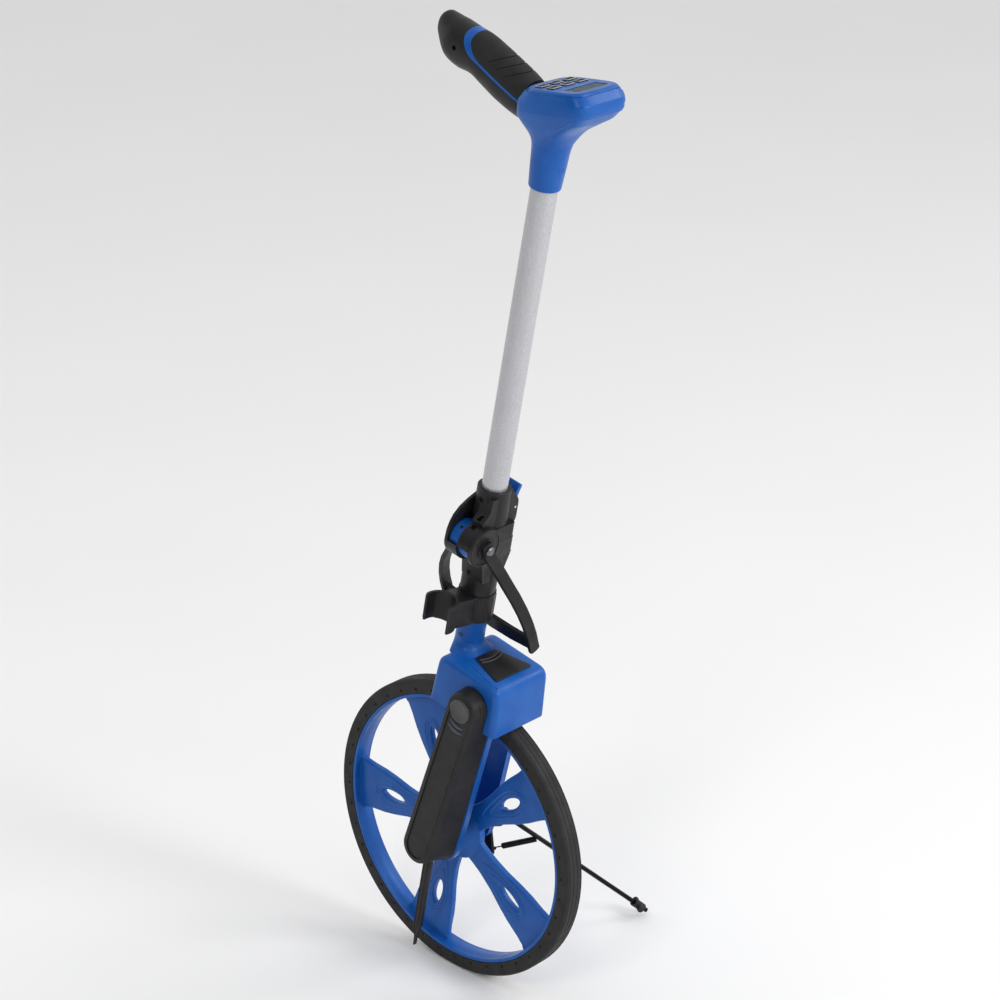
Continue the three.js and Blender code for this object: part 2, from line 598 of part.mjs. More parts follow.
piece(frame, 'carry_handle', carryHandle(), BLACK);
for (const [side, sign] of [['near', 1], ['far', -1]]) {
  const face = BAIL_INNER + 4 + GAP;
  const head = turned([[0, face], [5, face], [5, face + 1.4], [3.4, face + 2.6], [0, face + 2.6]], 'u', 20);
  const placed = closed(head.scale(sign, 1, 1)).translate(HINGE_MID, HINGE_V, HINGE_W);
  piece(frame, `handle_screw_${side}`, placed, STEEL);
}

// ---------- upper mast and head ----------
piece(frame, 'upper_tube',
  sleeve(TUBE_R - TUBE_WALL, TUBE_R, 'w', UPPER_TUBE_BASE + GAP, TUBE_TOP, mastAt, 32), SATIN_ALUMINIUM);

const PANEL_U = -14.5;                        // middle of the display face
const PANEL_W = 802.3;
const panelRise = Math.tan(PANEL_SLOPE);

// One ring of the head: its height, middle in u, half sizes, squareness and slope.
function headRing(height, middle, halfU, halfV, power, slope) {
  return ovalRing(24, power, halfU, halfV, (a, b) =>
    new THREE.Vector3(middle + a, b, height + slope * (middle + a - PANEL_U)));
}

function headShell() {
  const outside = loft([
    headRing(HEAD_SOCKET_BASE, MAST_U, 15, 15, 2, 0),
    headRing(737, MAST_U, 17.8, 17.8, 2, 0),
    headRing(742, MAST_U, 18.2, 18.2, 2, 0.02),
    headRing(762, -26, 26.5, 25.5, 2.8, 0.12),
    headRing(773, -17, 37.5, HEAD_HALF - 4, 4, 0.22),
    headRing(781, -12.5, 40, HEAD_HALF, 4.4, panelRise),
    headRing(791, -13.5, 39.5, HEAD_HALF, 4.4, panelRise),
    headRing(PANEL_W - 3.3, -14.5, 34, HEAD_HALF - 1.5, 4.4, panelRise),
  ]);
  const inside = loft([
    headRing(748, MAST_U, 12, 12, 2, 0),
    headRing(764, -26, 22.5, 21.5, 2.8, 0.12),
    headRing(774, -17, 34, HEAD_HALF - 7, 4, 0.22),
    headRing(781, -12.5, 37, HEAD_HALF - 3, 4.4, panelRise),
    headRing(791, -13.5, 36.5, HEAD_HALF - 3, 4.4, panelRise),
    headRing(PANEL_W + 5, -14.5, 31, HEAD_HALF - 4.5, 4.4, panelRise),
  ]);
  const bore = disc(SOCKET_R, 'w', HEAD_SOCKET_BASE - 1, TUBE_TOP + GAP, mastAt, 32);
  const wireway = disc(9, 'w', TUBE_TOP - 1, 752, mastAt, 16);
  const gripHole = disc(9, 'u', -30, 0, [-35, 0, 782], 16);
  const screwHole = disc(3.2, 'v', -25, -10, [MAST_U, 0, 716], 16);
  return cut(outside, inside, bore, wireway, gripHole, screwHole);
}

piece(frame, 'head_shell', headShell(), BLUE);
piece(frame, 'socket_screw', screwHead([MAST_U, 0, 716], -15.9), BLACK_STEEL);

// The panel group's x-y plane is the display face: x to the front, y to the far side.
const panel = new THREE.Group();
panel.position.set(PANEL_U, 0, PANEL_W);
panel.rotation.y = -PANEL_SLOPE;
frame.add(panel);

const LCD = { x: 16, halfX: 8, halfY: 20 };
const BUTTONS = { columns: [-19.5, -6], rows: [-17, 0, 17], halfX: 4.2, halfY: 6.2 };

const buttonPlaces = BUTTONS.columns.flatMap((x) => BUTTONS.rows.map((y) => [x, y]));

function headCover() {
  const outline = (shrink) => ovalRing(24, 4.4, 34.6 - shrink, HEAD_HALF - 1.5 - shrink, (a, b) => [a, b]);
  const plate = loft([
    outline(0).map(([a, b]) => new THREE.Vector3(a, b, -3)),
    outline(0.4).map(([a, b]) => new THREE.Vector3(a, b, -1.2)),
    outline(2.4).map(([a, b]) => new THREE.Vector3(a, b, 0)),
  ]);
  const window = prism(rectangle(LCD.x, 0, LCD.halfX, LCD.halfY, 2), 'uv', -5, 2);
  const holes = buttonPlaces.map(([x, y]) =>
    prism(rectangle(x, y, BUTTONS.halfX + GAP, BUTTONS.halfY + GAP, 2), 'uv', -5, 2, 0, 3));
  return cut(plate, window, ...holes);
}

piece(panel, 'head_cover', headCover(), BLUE);
piece(panel, 'lcd_window',
  prism(rectangle(LCD.x, 0, LCD.halfX - GAP, LCD.halfY - GAP, 1.8), 'uv', -2.2, -0.4), LCD_GREY);
piece(panel, 'lcd_module', prism(rectangle(LCD.x, 0, 9, 21, 1), 'uv', -6.2, -3.4), BOARD_GREEN);
buttonPlaces.forEach(([x, y], i) => {
  const cap = prism(rectangle(x, y, BUTTONS.halfX, BUTTONS.halfY, 1.8), 'uv', -3.6, 1.1, 0.5, 2);
  piece(panel, `button_${i + 1}`, cap, RUBBER);
});
piece(panel, 'circuit_board', prism(rectangle(-1, 0, 28, 25, 3), 'uv', -8.2, -6.6), BOARD_GREEN);

// ---------- grip ----------
// The grip group's x runs back along the grip, z up through it.
const grip = new THREE.Group();
grip.position.set(-56, 0, 772);
grip.rotation.set(0, GRIP_RISE, Math.PI, 'YXZ');
frame.add(grip);

// Stations along the grip: [distance from the head, half height, height of the middle].
const GRIP_STATIONS = [
  [0, 19.5, -1], [12, 21, 0], [32, 21.6, 1.6], [50, 21.2, 3.8], [68, 20.6, 5.6], [84, 21.2, 3.4],
  [98, 20.4, 3.4], [106, 18, 4.8], [113, 14.8, 7.6], [118, 12, 9.6], [121, 8.5, 10.2],
];
const GRIP_WIDTH = 0.86;                      // width against height

function gripBody(shrink) {
  return loft(GRIP_STATIONS.map(([x, half, middle]) => {
    const tall = half - shrink;
    return ovalRing(24, 2.2, tall, tall * GRIP_WIDTH, (a, b) => new THREE.Vector3(x, b, a + middle));
  }));
}

const INSERT_END = 75;
const SKIN = 3;
const TRIM = 1.6;
const TRIM_BAND = 9;
const CELL_Z = 0;
const CELL_Y = 7.9;
const DOOR = { from: 16, to: 56, half: 8 };

// Everything above the line where the soft insert meets the hard grip, grown downwards and backwards.
function insertZone(grow, endGrow) {
  const end = INSERT_END + endGrow;
  const outline = rounded([
    [-20, -1.5 - grow, 0], [end - 12, 8.5 - grow, 8], [end + 1, 20, 7], [end - 2, 60, 0], [-20, 60, 0],
  ]);
  return prism(outline, 'uw', -40, 40, 0, 3);
}

const outer = gripBody(0);
const skin = cut(outer, gripBody(SKIN));
const ahead = block([-30, 2], [-40, 40], [-40, 40]);
const bays = [-1, 1].map((side) => disc(7.7, 'u', 14, 70, [0, side * CELL_Y, CELL_Z], 20));

function doorBlock(grow, top) {
  const from = DOOR.from - grow;
  const to = DOOR.to + grow;
  const outline = polygon([[from, -40], [to, -40], [to, top + 4.5], [from, top]]);
  return prism(outline, 'uw', -DOOR.half - grow, DOOR.half + grow);
}

function gripCore() {
  const shell = cut(gripBody(-1), gripBody(SKIN + GAP));
  const recess = common(shell, insertZone(TRIM + 2 * GAP, TRIM_BAND + GAP));
  const tether = disc(2.4, 'v', -40, 40, [87, 0, 4], 16);
  const wireway = disc(6, 'u', -5, 16, [0, 0, CELL_Z], 16);
  return cut(cut(outer, recess), ...bays, doorBlock(GAP, -8), tether, wireway);
}

function fingerGroove(start) {
  const post = (halfX, halfY) => disc(1, 'w', 2, 60, [0, 0, 0], 20).scale(halfX, halfY, 1);
  const arch = (halfX, halfY) => post(halfX, halfY).translate(start + 22, 0, 0);
  const front = block([start - 5, start + 15], [-40, 40], [-5, 61]);
  return common(cut(arch(22.6, 19), arch(21.4, 18.2)), front);
}

const insertSkin = common(skin, insertZone(0, 0));
const trimSkin = common(skin, insertZone(TRIM + GAP, TRIM_BAND));
const grooveDepth = cut(gripBody(-1), gripBody(1.2));
const grooves = common(join(...[13, 24, 35].map(fingerGroove)), grooveDepth);
const cell = [[0, 17], [7, 17], [7, 66], [2.6, 66], [2.6, 67.5], [0, 67.5]];
piece(grip, 'grip_core', gripCore(), BLACK);
piece(grip, 'grip_trim', cut(trimSkin, insertZone(GAP, GAP), ahead), BLUE);
piece(grip, 'grip_insert', cut(insertSkin, ahead, grooves), RUBBER);
for (const [letter, side] of [['a', -1], ['b', 1]]) {
  piece(grip, `battery_${letter}`, turned(cell, 'u', 20, [0, side * CELL_Y, CELL_Z]), CELL_RED);
}
piece(grip, 'battery_door', common(outer, doorBlock(0, -16.5)), BLACK);

// ---------- side stand ----------
const PIVOT = new THREE.Vector3(24.7, 40, 11.1);
const FOOT = new THREE.Vector3(108.1, 202.3, -136.5);
const STOWED = new THREE.Vector3(0, 0.05, 1).normalize();
const EYE = new THREE.Vector3(21, 35.5, -33);
const deployed = FOOT.clone().sub(PIVOT).normalize();
const standAxis = deployed.clone().cross(STOWED).normalize();
const standOut = STOWED.clone().cross(standAxis);

const STAND_LENGTH = PIVOT.distanceTo(FOOT);

// A round bar from one point to another.
function between(from, to, radius, segments) {
  const rod = new THREE.CylinderGeometry(radius, radius, from.distanceTo(to), segments);
  const turn = new THREE.Quaternion().setFromUnitVectors(AXES.v, to.clone().sub(from).normalize());
  rod.applyQuaternion(turn);
  const middle = from.clone().lerp(to, 0.5);
  return closed(rod.translate(middle.x, middle.y, middle.z));
}

const beside = (offset) => PIVOT.clone().addScaledVector(standAxis, offset);
const along = (distance) => PIVOT.clone().addScaledVector(deployed, distance);

function standBracket() {
  const face = [LEG_OUT + GAP, LEG_OUT + 3.3];
  const plate = join(prism(capsule(0, 0, 13, PIVOT.x, PIVOT.z, 8), 'uw', ...face),
    prism(capsule(6, 0, 9, EYE.x, EYE.z, 5), 'uw', ...face));
  const ears = [-1, 1].map((side) => between(beside(side * 3.2), beside(side * 6), 6, 16));
  const tabs = [-1, 1].map((side) => {
    const from = beside(side * 5.4);
    const reach = (from.y - LEG_OUT - 1) / standOut.y;
    return between(from, from.clone().addScaledVector(standOut, -reach), 2, 8);
  });
  const hook = between(new THREE.Vector3(EYE.x, LEG_OUT + 1, EYE.z), EYE.clone().setY(EYE.y + 3), 1.8, 8);
  const bore = disc(AXLE_R + GAP, 'v', 20, 50, [0, 0, 0], 24);
  return cut(join(plate, ...ears, ...tabs, hook), bore, between(beside(-9), beside(9), 1.9, 12));
}

function standRod() {
  const eye = between(beside(-2.9), beside(2.9), 5.4, 16);
  const leg = between(along(2.5), FOOT, STAND_R, 12);
  return cut(join(eye, leg), between(beside(-9), beside(9), 1.9, 12));
}

piece(frame, 'stand_bracket', standBracket(), BLACK_STEEL);
piece(frame, 'stand_pin', between(beside(-7.5), beside(7.5), 1.6, 12), STEEL);
piece(frame, 'stand_rod', standRod(), BLACK_STEEL);

function standFoot() {
  const side = deployed.clone().cross(AXES.w).normalize();
  const across = (offset) => along(STAND_LENGTH - 14).addScaledVector(side, offset);
  const boot = between(along(STAND_LENGTH - 22), along(STAND_LENGTH - 6), 4.6, 16);
  const wings = between(across(-9), across(9), 3.6, 12);
  const bore = between(along(STAND_LENGTH - 40), along(STAND_LENGTH + 5), STAND_R + GAP, 12);
  return cut(join(boot, wings), bore);
}

function standSpring() {
  const hooked = EYE.clone().setY(EYE.y + 5);
  const end = along(0.19 * STAND_LENGTH);
  return between(hooked.clone().lerp(end, 0.08), hooked.clone().lerp(end, 0.86), 3.6, 12);
}

piece(frame, 'stand_foot', standFoot(), RUBBER);
piece(frame, 'stand_spring', standSpring(), BLACK_STEEL);

export default root;
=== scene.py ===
"""Digital measuring wheel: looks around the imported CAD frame. Metres, +Z up."""
import json
import math

import bmesh
import bpy
from mathutils import Matrix, Vector
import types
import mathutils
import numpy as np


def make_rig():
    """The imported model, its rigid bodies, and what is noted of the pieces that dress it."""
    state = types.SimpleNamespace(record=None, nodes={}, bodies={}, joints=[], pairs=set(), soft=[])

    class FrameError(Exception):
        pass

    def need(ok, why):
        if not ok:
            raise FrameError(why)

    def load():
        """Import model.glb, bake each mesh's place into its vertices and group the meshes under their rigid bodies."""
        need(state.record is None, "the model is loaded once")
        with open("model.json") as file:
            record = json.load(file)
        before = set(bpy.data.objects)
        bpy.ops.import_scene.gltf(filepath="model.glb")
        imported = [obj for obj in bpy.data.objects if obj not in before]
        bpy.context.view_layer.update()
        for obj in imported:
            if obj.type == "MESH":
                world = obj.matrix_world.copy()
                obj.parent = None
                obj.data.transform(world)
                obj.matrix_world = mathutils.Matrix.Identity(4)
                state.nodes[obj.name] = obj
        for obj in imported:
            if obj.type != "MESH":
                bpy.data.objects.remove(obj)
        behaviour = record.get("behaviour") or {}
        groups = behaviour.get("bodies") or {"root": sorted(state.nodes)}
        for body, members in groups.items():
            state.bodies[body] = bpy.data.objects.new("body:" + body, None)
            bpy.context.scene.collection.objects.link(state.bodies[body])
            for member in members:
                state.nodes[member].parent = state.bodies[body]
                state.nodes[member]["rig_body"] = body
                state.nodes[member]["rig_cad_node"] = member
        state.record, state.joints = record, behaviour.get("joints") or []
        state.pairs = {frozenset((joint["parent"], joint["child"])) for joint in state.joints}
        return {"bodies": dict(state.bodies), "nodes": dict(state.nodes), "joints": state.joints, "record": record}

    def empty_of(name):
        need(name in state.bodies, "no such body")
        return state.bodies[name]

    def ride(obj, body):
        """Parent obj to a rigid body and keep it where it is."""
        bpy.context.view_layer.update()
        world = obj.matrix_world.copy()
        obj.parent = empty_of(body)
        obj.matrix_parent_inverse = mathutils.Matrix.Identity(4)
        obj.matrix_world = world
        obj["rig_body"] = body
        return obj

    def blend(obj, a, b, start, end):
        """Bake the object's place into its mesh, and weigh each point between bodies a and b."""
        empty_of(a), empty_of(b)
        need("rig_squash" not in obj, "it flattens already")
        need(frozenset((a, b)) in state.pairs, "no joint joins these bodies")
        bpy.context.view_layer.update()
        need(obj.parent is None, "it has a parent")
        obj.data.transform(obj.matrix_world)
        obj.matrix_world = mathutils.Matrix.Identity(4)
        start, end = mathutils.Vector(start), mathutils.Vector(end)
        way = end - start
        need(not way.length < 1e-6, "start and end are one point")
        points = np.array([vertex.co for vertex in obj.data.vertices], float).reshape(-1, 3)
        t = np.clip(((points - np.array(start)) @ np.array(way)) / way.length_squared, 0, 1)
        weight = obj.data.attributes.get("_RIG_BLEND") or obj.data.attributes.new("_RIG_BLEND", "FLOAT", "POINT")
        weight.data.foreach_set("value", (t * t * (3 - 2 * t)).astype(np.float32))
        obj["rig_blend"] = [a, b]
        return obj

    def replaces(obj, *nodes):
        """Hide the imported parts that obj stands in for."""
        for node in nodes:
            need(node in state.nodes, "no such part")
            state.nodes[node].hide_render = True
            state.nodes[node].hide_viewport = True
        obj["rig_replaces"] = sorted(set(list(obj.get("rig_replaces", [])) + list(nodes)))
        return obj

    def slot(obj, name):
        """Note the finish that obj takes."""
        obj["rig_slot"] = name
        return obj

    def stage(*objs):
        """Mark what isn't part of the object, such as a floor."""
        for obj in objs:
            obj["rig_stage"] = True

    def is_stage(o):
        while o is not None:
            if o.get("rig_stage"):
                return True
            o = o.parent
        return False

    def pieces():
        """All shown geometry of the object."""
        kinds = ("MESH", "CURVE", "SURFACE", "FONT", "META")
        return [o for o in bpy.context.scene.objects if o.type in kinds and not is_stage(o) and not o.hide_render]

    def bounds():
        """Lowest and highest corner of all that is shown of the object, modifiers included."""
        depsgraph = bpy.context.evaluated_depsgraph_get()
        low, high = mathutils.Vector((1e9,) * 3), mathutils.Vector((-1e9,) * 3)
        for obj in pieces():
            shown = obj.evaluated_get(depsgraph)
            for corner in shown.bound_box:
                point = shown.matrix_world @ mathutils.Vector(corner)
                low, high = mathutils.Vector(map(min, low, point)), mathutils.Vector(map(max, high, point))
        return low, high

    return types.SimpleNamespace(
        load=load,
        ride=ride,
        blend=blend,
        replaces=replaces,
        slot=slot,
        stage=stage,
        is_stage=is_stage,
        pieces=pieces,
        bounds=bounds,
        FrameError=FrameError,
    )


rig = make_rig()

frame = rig.load()
cad_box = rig.bounds()

# ---------- the part's own dimensions, in millimetres ----------
# u runs forwards, v to the far side and w up the mast, all from the axle's centre.
MM = 0.001
FRAME_TILT = math.radians(11.384)

WHEEL_R = 1000 / (2 * math.pi)
TYRE_HALF = 10.4
TREAD_GROOVES = (-7.7, -2.6, 2.6, 7.7)
DIMPLES = 40
DIMPLE_PHASE = math.radians(1)
DIMPLE_AT = 148.7
DIMPLE_R = 1.75
DIMPLE_DEPTH = 1.5
SPOKES = 5
SPOKE_HALF = 3.6
HUB_HALF = 17

MAST_U = -26.6
TUBE_R = 12.5
TUBE_BORE = 11.2
LOWER_TUBE = (205, 317)
UPPER_TUBE = (355.8, 726)
HOUSING_HALF = 37
HOUSING_BASE = 155
HOUSING_TOP = 208
HOUSING_WALL = 4
WHEEL_SLOT_HALF = 13.4
NECK_R = 14.4
NECK_BORE = 11.3
NECK_FOOT = 206
NECK_TOP = 243.3

COVER_TOP = (22, 178)
COVER_FOOT = (-6, -7)
COVER_FACE = -54.5
COVER_BACK = -29.3

CLIP_V = -50.5
CLIP_NEST_R = 16.9
CLIP_COLLAR_R = 18.4
HINGE_V = -22
HINGE_W = 336.5
HINGE_MID = -24.75
HINGE_HALF = 17.25
DRUM_R = 17
DRUM_MARK = (-32.3, -31.37, 350.67)

STAND_PIVOT = (24.7, 40, 11.1)
STAND_FOOT = (108.1, 202.3, -136.5)
SPRING_HOOK = (21, 40.5, -33)
SPRING_REACH = 0.235
SPRING_TURNS = 36
SPRING_R = 2.6
SPRING_WIRE = 0.65
TURN_STEPS = 14

SCREW_HEAD_R = 2.8
SCREW_HEAD = 1.6

HEAD_FOOT = 700.5
PANEL_SLOPE = math.radians(15.8)
PANEL_U = -14.5
PANEL_W = 802.3
BUTTON_ROWS = (-19.5, -6)
BUTTON_COLUMNS = (-17, 0, 17)
BUTTON_HALF_U = 3.75
BUTTON_HALF_V = 5.75
GRIP_RISE = math.radians(10.4)
GRIP_AT = (-56, 0, 772)
INSERT_END = 75
DOOR_START = 16
DOOR_END = 56
CELL_BAY_R = 7.7
CELL_SIDE = 7.9

WHEEL = Matrix.Translation((0, 0, WHEEL_R * MM)) @ Matrix.Scale(MM, 4)
MAST = Matrix.Translation((0, 0, WHEEL_R * MM)) @ Matrix.Rotation(FRAME_TILT, 4, "Y") @ Matrix.Scale(MM, 4)
PANEL = MAST @ Matrix.Translation((PANEL_U, 0, PANEL_W)) @ Matrix.Rotation(-PANEL_SLOPE, 4, "Y")
GRIP = (MAST @ Matrix.Translation(GRIP_AT) @ Matrix.Rotation(GRIP_RISE, 4, "Y")
        @ Matrix.Rotation(math.pi, 4, "Z"))

# ---------- materials ----------


def srgb(r, g, b):
    """A display colour from 0 to 255 as the linear colour that shaders take."""
    def linear(c):
        c /= 255
        return c / 12.92 if c <= 0.04045 else ((c + 0.055) / 1.055) ** 2.4
    return (linear(r), linear(g), linear(b), 1)


class Nodes:
    """A short way to build a shader tree."""

    def __init__(self, name):
        self.material = bpy.data.materials.new(name)
        self.material.use_nodes = True
        self.tree = self.material.node_tree
        self.shader = self.tree.nodes["Principled BSDF"]
        self.place = self.add("ShaderNodeTexCoord").outputs["Object"]

    def add(self, kind, **settings):
        node = self.tree.nodes.new(kind)
        for key, value in settings.items():
            setattr(node, key, value)
        return node

    def link(self, out, socket):
        self.tree.links.new(out, socket)

    def stretch(self, scale, tilt=0.0):
        node = self.add("ShaderNodeMapping")
        node.inputs["Rotation"].default_value = (0, tilt, 0)
        node.inputs["Scale"].default_value = scale
        self.link(self.place, node.inputs["Vector"])
        return node.outputs["Vector"]

    def noise(self, scale, detail=3.0, vector=None):
        node = self.add("ShaderNodeTexNoise")
        node.inputs["Scale"].default_value = scale
        node.inputs["Detail"].default_value = detail
        self.link(vector or self.place, node.inputs["Vector"])
        return node.outputs["Fac"]

    def span(self, value, low, high, to_low, to_high):
        node = self.add("ShaderNodeMapRange")
        for name, number in (("From Min", low), ("From Max", high), ("To Min", to_low), ("To Max", to_high)):
            node.inputs[name].default_value = number
        self.link(value, node.inputs["Value"])
        return node.outputs["Result"]

    def mix(self, factor, first, second):
        node = self.add("ShaderNodeMix", data_type="RGBA")
        self.link(factor, node.inputs[0])
        for socket, colour in ((node.inputs[6], first), (node.inputs[7], second)):
            if isinstance(colour, tuple):
                socket.default_value = colour
            else:
                self.link(colour, socket)
        return node.outputs[2]

    def edges(self, radius):
        """1 on a convex or concave edge, 0 on a flat or gently curved face."""
        bevel = self.add("ShaderNodeBevel", samples=4)
        bevel.inputs["Radius"].default_value = radius
        normal = self.add("ShaderNodeNewGeometry").outputs["Normal"]
        dot = self.add("ShaderNodeVectorMath", operation="DOT_PRODUCT")
        self.link(bevel.outputs["Normal"], dot.inputs[0])
        self.link(normal, dot.inputs[1])
        return self.span(dot.outputs["Value"], 0.995, 0.80, 0, 1)

    def bump(self, height, strength, distance, under=None):
        node = self.add("ShaderNodeBump")
        node.inputs["Strength"].default_value = strength
        node.inputs["Distance"].default_value = distance
        self.link(height, node.inputs["Height"])
        if under is not None:
            self.link(under, node.inputs["Normal"])
        return node.outputs["Normal"]


def moulded(name, colour, lighter, grain, rough=(0.36, 0.5), edge_wear_and_highlight=0.35, strength=0.25, specular=0.5):
    """Moulded plastic or rubber: fine grain, faint mottling, and edges lightened, partly as worn plastic and partly as
    a painted highlight.
    """
    n = Nodes(name)
    mottled = n.mix(n.span(n.noise(38, 5), 0.35, 0.75, 0, 0.16), colour, lighter)
    # Every convex and concave edge is lightened towards the lighter colour: partly worn plastic, partly a painted
    # highlight.
    edge_worn_and_highlit = n.mix(n.span(n.edges(0.0007), 0, 1, 0, edge_wear_and_highlight), mottled, lighter)
    n.link(edge_worn_and_highlit, n.shader.inputs["Base Color"])
    patches = n.noise(90, 4)
    n.link(n.span(patches, 0.3, 0.7, *rough), n.shader.inputs["Roughness"])
    coarse = n.bump(n.noise(grain * 0.12, 2), strength * 0.5, 0.0004)
    n.link(n.bump(n.noise(grain, 3), strength, 0.0001, coarse), n.shader.inputs["Normal"])
    n.shader.inputs["Specular IOR Level"].default_value = specular
    return n.material


def metal(name, colour, darker, rough, streak, tilt=0.0, edge_wear_and_highlight=None, metallic=1.0):
    """Drawn or turned metal with fine streaks, or a dark coat lightened at its edges, partly worn through and partly a
    painted highlight.
    """
    n = Nodes(name)
    lines = n.noise(1, 4, n.stretch(streak, tilt))
    cloud = n.noise(25, 3)
    base = n.mix(n.span(lines, 0.3, 0.7, 0, 0.5), colour, darker)
    base = n.mix(n.span(cloud, 0.4, 0.75, 0, 0.3), base, darker)
    if edge_wear_and_highlight:
        # Edges lightened towards the given colour: partly a worn coat, partly a painted highlight.
        base = n.mix(n.span(n.edges(0.0005), 0, 1, 0, 0.5), base, edge_wear_and_highlight)
    n.link(base, n.shader.inputs["Base Color"])
    n.link(n.span(lines, 0.25, 0.75, *rough), n.shader.inputs["Roughness"])
    n.link(n.bump(lines, 0.12, 0.00008), n.shader.inputs["Normal"])
    n.shader.inputs["Metallic"].default_value = metallic
    return n.material


BLUE = moulded("blue_plastic", srgb(8, 82, 164), srgb(70, 134, 210), 2600, (0.3, 0.42), 0.5, 0.14, 0.26)
BLACK = moulded("black_plastic", srgb(24, 23, 25), srgb(70, 69, 72), 3400, (0.36, 0.5), 0.5, 0.3, 0.26)
RUBBER = moulded("soft_rubber", srgb(26, 25, 26), srgb(62, 60, 60), 4200, (0.6, 0.78), 0.35, 0.4, 0.35)
TYRE = moulded("tyre_rubber", srgb(34, 33, 34), srgb(72, 70, 69), 3000, (0.62, 0.8), 0.5, 0.45, 0.35)
TUBE = metal("satin_aluminium", (0.5, 0.5, 0.525, 1), (0.42, 0.42, 0.44, 1), (0.22, 0.32),
             (900, 900, 9), -FRAME_TILT, None, 0.55)
STEEL = metal("bright_steel", (0.6, 0.6, 0.61, 1), (0.42, 0.42, 0.43, 1), (0.22, 0.36), (300, 60, 300))
# Its pale edge colour is partly worn-through coat and partly a painted highlight.
BLACK_STEEL = metal("black_steel", srgb(34, 34, 37), srgb(20, 20, 22), (0.3, 0.45), (200, 200, 200), 0,
                    srgb(120, 118, 116))
BOARD = moulded("circuit_green", srgb(24, 96, 52), srgb(40, 130, 74), 900, (0.3, 0.4), 0.2, 0.2)
CELL = moulded("cell_wrap", srgb(130, 40, 36), srgb(160, 60, 52), 600, (0.25, 0.35), 0.2, 0.1)
CAP_GREY = moulded("cap_grey", srgb(58, 58, 60), srgb(84, 84, 86), 3400, (0.38, 0.5), 0.4, 0.3)
GROOVE_GREY = moulded("groove_grey", srgb(74, 80, 96), srgb(104, 110, 126), 3400, (0.35, 0.5), 0.4, 0.2)
STRAP = moulded("strap_black", srgb(17, 17, 19), srgb(60, 60, 63), 1500, (0.5, 0.64), 0.35, 0.5, 0.28)
DARK_STEEL = metal("dark_steel", (0.2, 0.2, 0.21, 1), (0.08, 0.08, 0.085, 1), (0.3, 0.45), (300, 60, 300))
# Pale colour of the painted highlight round each button's top edge.
BUTTON_EDGE_HIGHLIGHT = moulded("button_legend", srgb(196, 200, 206), srgb(214, 216, 220), 2500, (0.5, 0.6), 0.1, 0.1)


def screen():
    """The dark green display, with hardly any shine."""
    n = Nodes("display_screen")
    tint = n.mix(n.span(n.noise(30, 2), 0.3, 0.7, 0, 1), srgb(22, 48, 52), srgb(34, 64, 66))
    n.link(tint, n.shader.inputs["Base Color"])
    n.link(n.span(n.noise(160, 3), 0.3, 0.7, 0.2, 0.32), n.shader.inputs["Roughness"])
    n.link(n.bump(n.noise(400, 2), 0.03, 0.00005), n.shader.inputs["Normal"])
    n.shader.inputs["IOR"].default_value = 1.12
    return n.material


SCREEN = screen()
SLOT_OF = {BLUE: "blue_plastic", BLACK: "black_plastic", RUBBER: "soft_rubber", TYRE: "tyre_rubber",
           TUBE: "satin_aluminium", STEEL: "bright_steel", BLACK_STEEL: "black_steel", BOARD: "circuit_green",
           SCREEN: "display_screen", CELL: "cell_wrap", CAP_GREY: "black_plastic",
           GROOVE_GREY: "black_plastic", STRAP: "black_plastic", DARK_STEEL: "bright_steel",
           BUTTON_EDGE_HIGHLIGHT: "soft_rubber"}
FINISH = {slot: material for material, slot in reversed(SLOT_OF.items())}

# ---------- meshes ----------


def make(name, body, material, bm, place=None, smooth=35, stands_for=(), blend=None):
    """Turns a bmesh into a piece that rides on a body, or bends from one body to another."""
    if place is not None:
        bm.transform(place)
    bmesh.ops.recalc_face_normals(bm, faces=bm.faces)
    mesh = bpy.data.meshes.new(name)
    bm.to_mesh(mesh)
    bm.free()
    mesh.materials.append(material)
    mesh.shade_smooth()
    mesh.set_sharp_from_angle(angle=math.radians(smooth))
    piece = bpy.data.objects.new(name, mesh)
    bpy.context.scene.collection.objects.link(piece)
    if blend:
        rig.blend(piece, body, *blend)
    else:
        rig.ride(piece, body)
    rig.slot(piece, SLOT_OF[material])
    if stands_for:
        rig.replaces(piece, *stands_for)
    return piece


def skin(rings, cap=True, wrap=False):
    """A closed skin through rings of points; wrap joins the last ring to the first."""
    bm = bmesh.new()
    rows = [[bm.verts.new(p) for p in ring] for ring in rings]
    pairs = list(zip(rows, rows[1:])) + ([(rows[-1], rows[0])] if wrap else [])
    for a, b in pairs:
        for i in range(len(a)):
            j = (i + 1) % len(a)
            bm.faces.new((a[i], a[j], b[j], b[i]))
    if cap and not wrap:
        bm.faces.new(rows[0])
        bm.faces.new(rows[-1])
    return bm


def around(count):
    """The angles of evenly spaced points round a circle."""
    return [2 * math.pi * i / count for i in range(count)]


def place_on(axis, at):
    """Takes (x, y, distance) to a point with the distance along the named axis."""
    u, v, w = at

    def put(x, y, d):
        if axis == "w":
            return (u + x, v + y, w + d)
        if axis == "v":
            return (u + x, v + d, w + y)
        return (u + d, v + x, w + y)
    return put


def turned(profile, axis="w", at=(0, 0, 0), segments=64, shape=None):
    """A closed profile of (radius, distance) turned about an axis; shape may move each point."""
    put = place_on(axis, at)
    rings = []
    for r, d in profile:
        ring = []
        for angle in around(segments):
            radius, distance = shape(r, d, angle) if shape else (r, d)
            ring.append(put(radius * math.cos(angle), radius * math.sin(angle), distance))
        rings.append(ring)
    return skin(rings, cap=False, wrap=True)


def oval_ring(count, power, a, b, put):
    """A ring between an ellipse (power 2) and a rectangle (high power), half sizes a and b."""
    def bend(value):
        return math.copysign(abs(value) ** (2 / power), value)
    return [put(a * bend(math.cos(t)), b * bend(math.sin(t))) for t in around(count)]


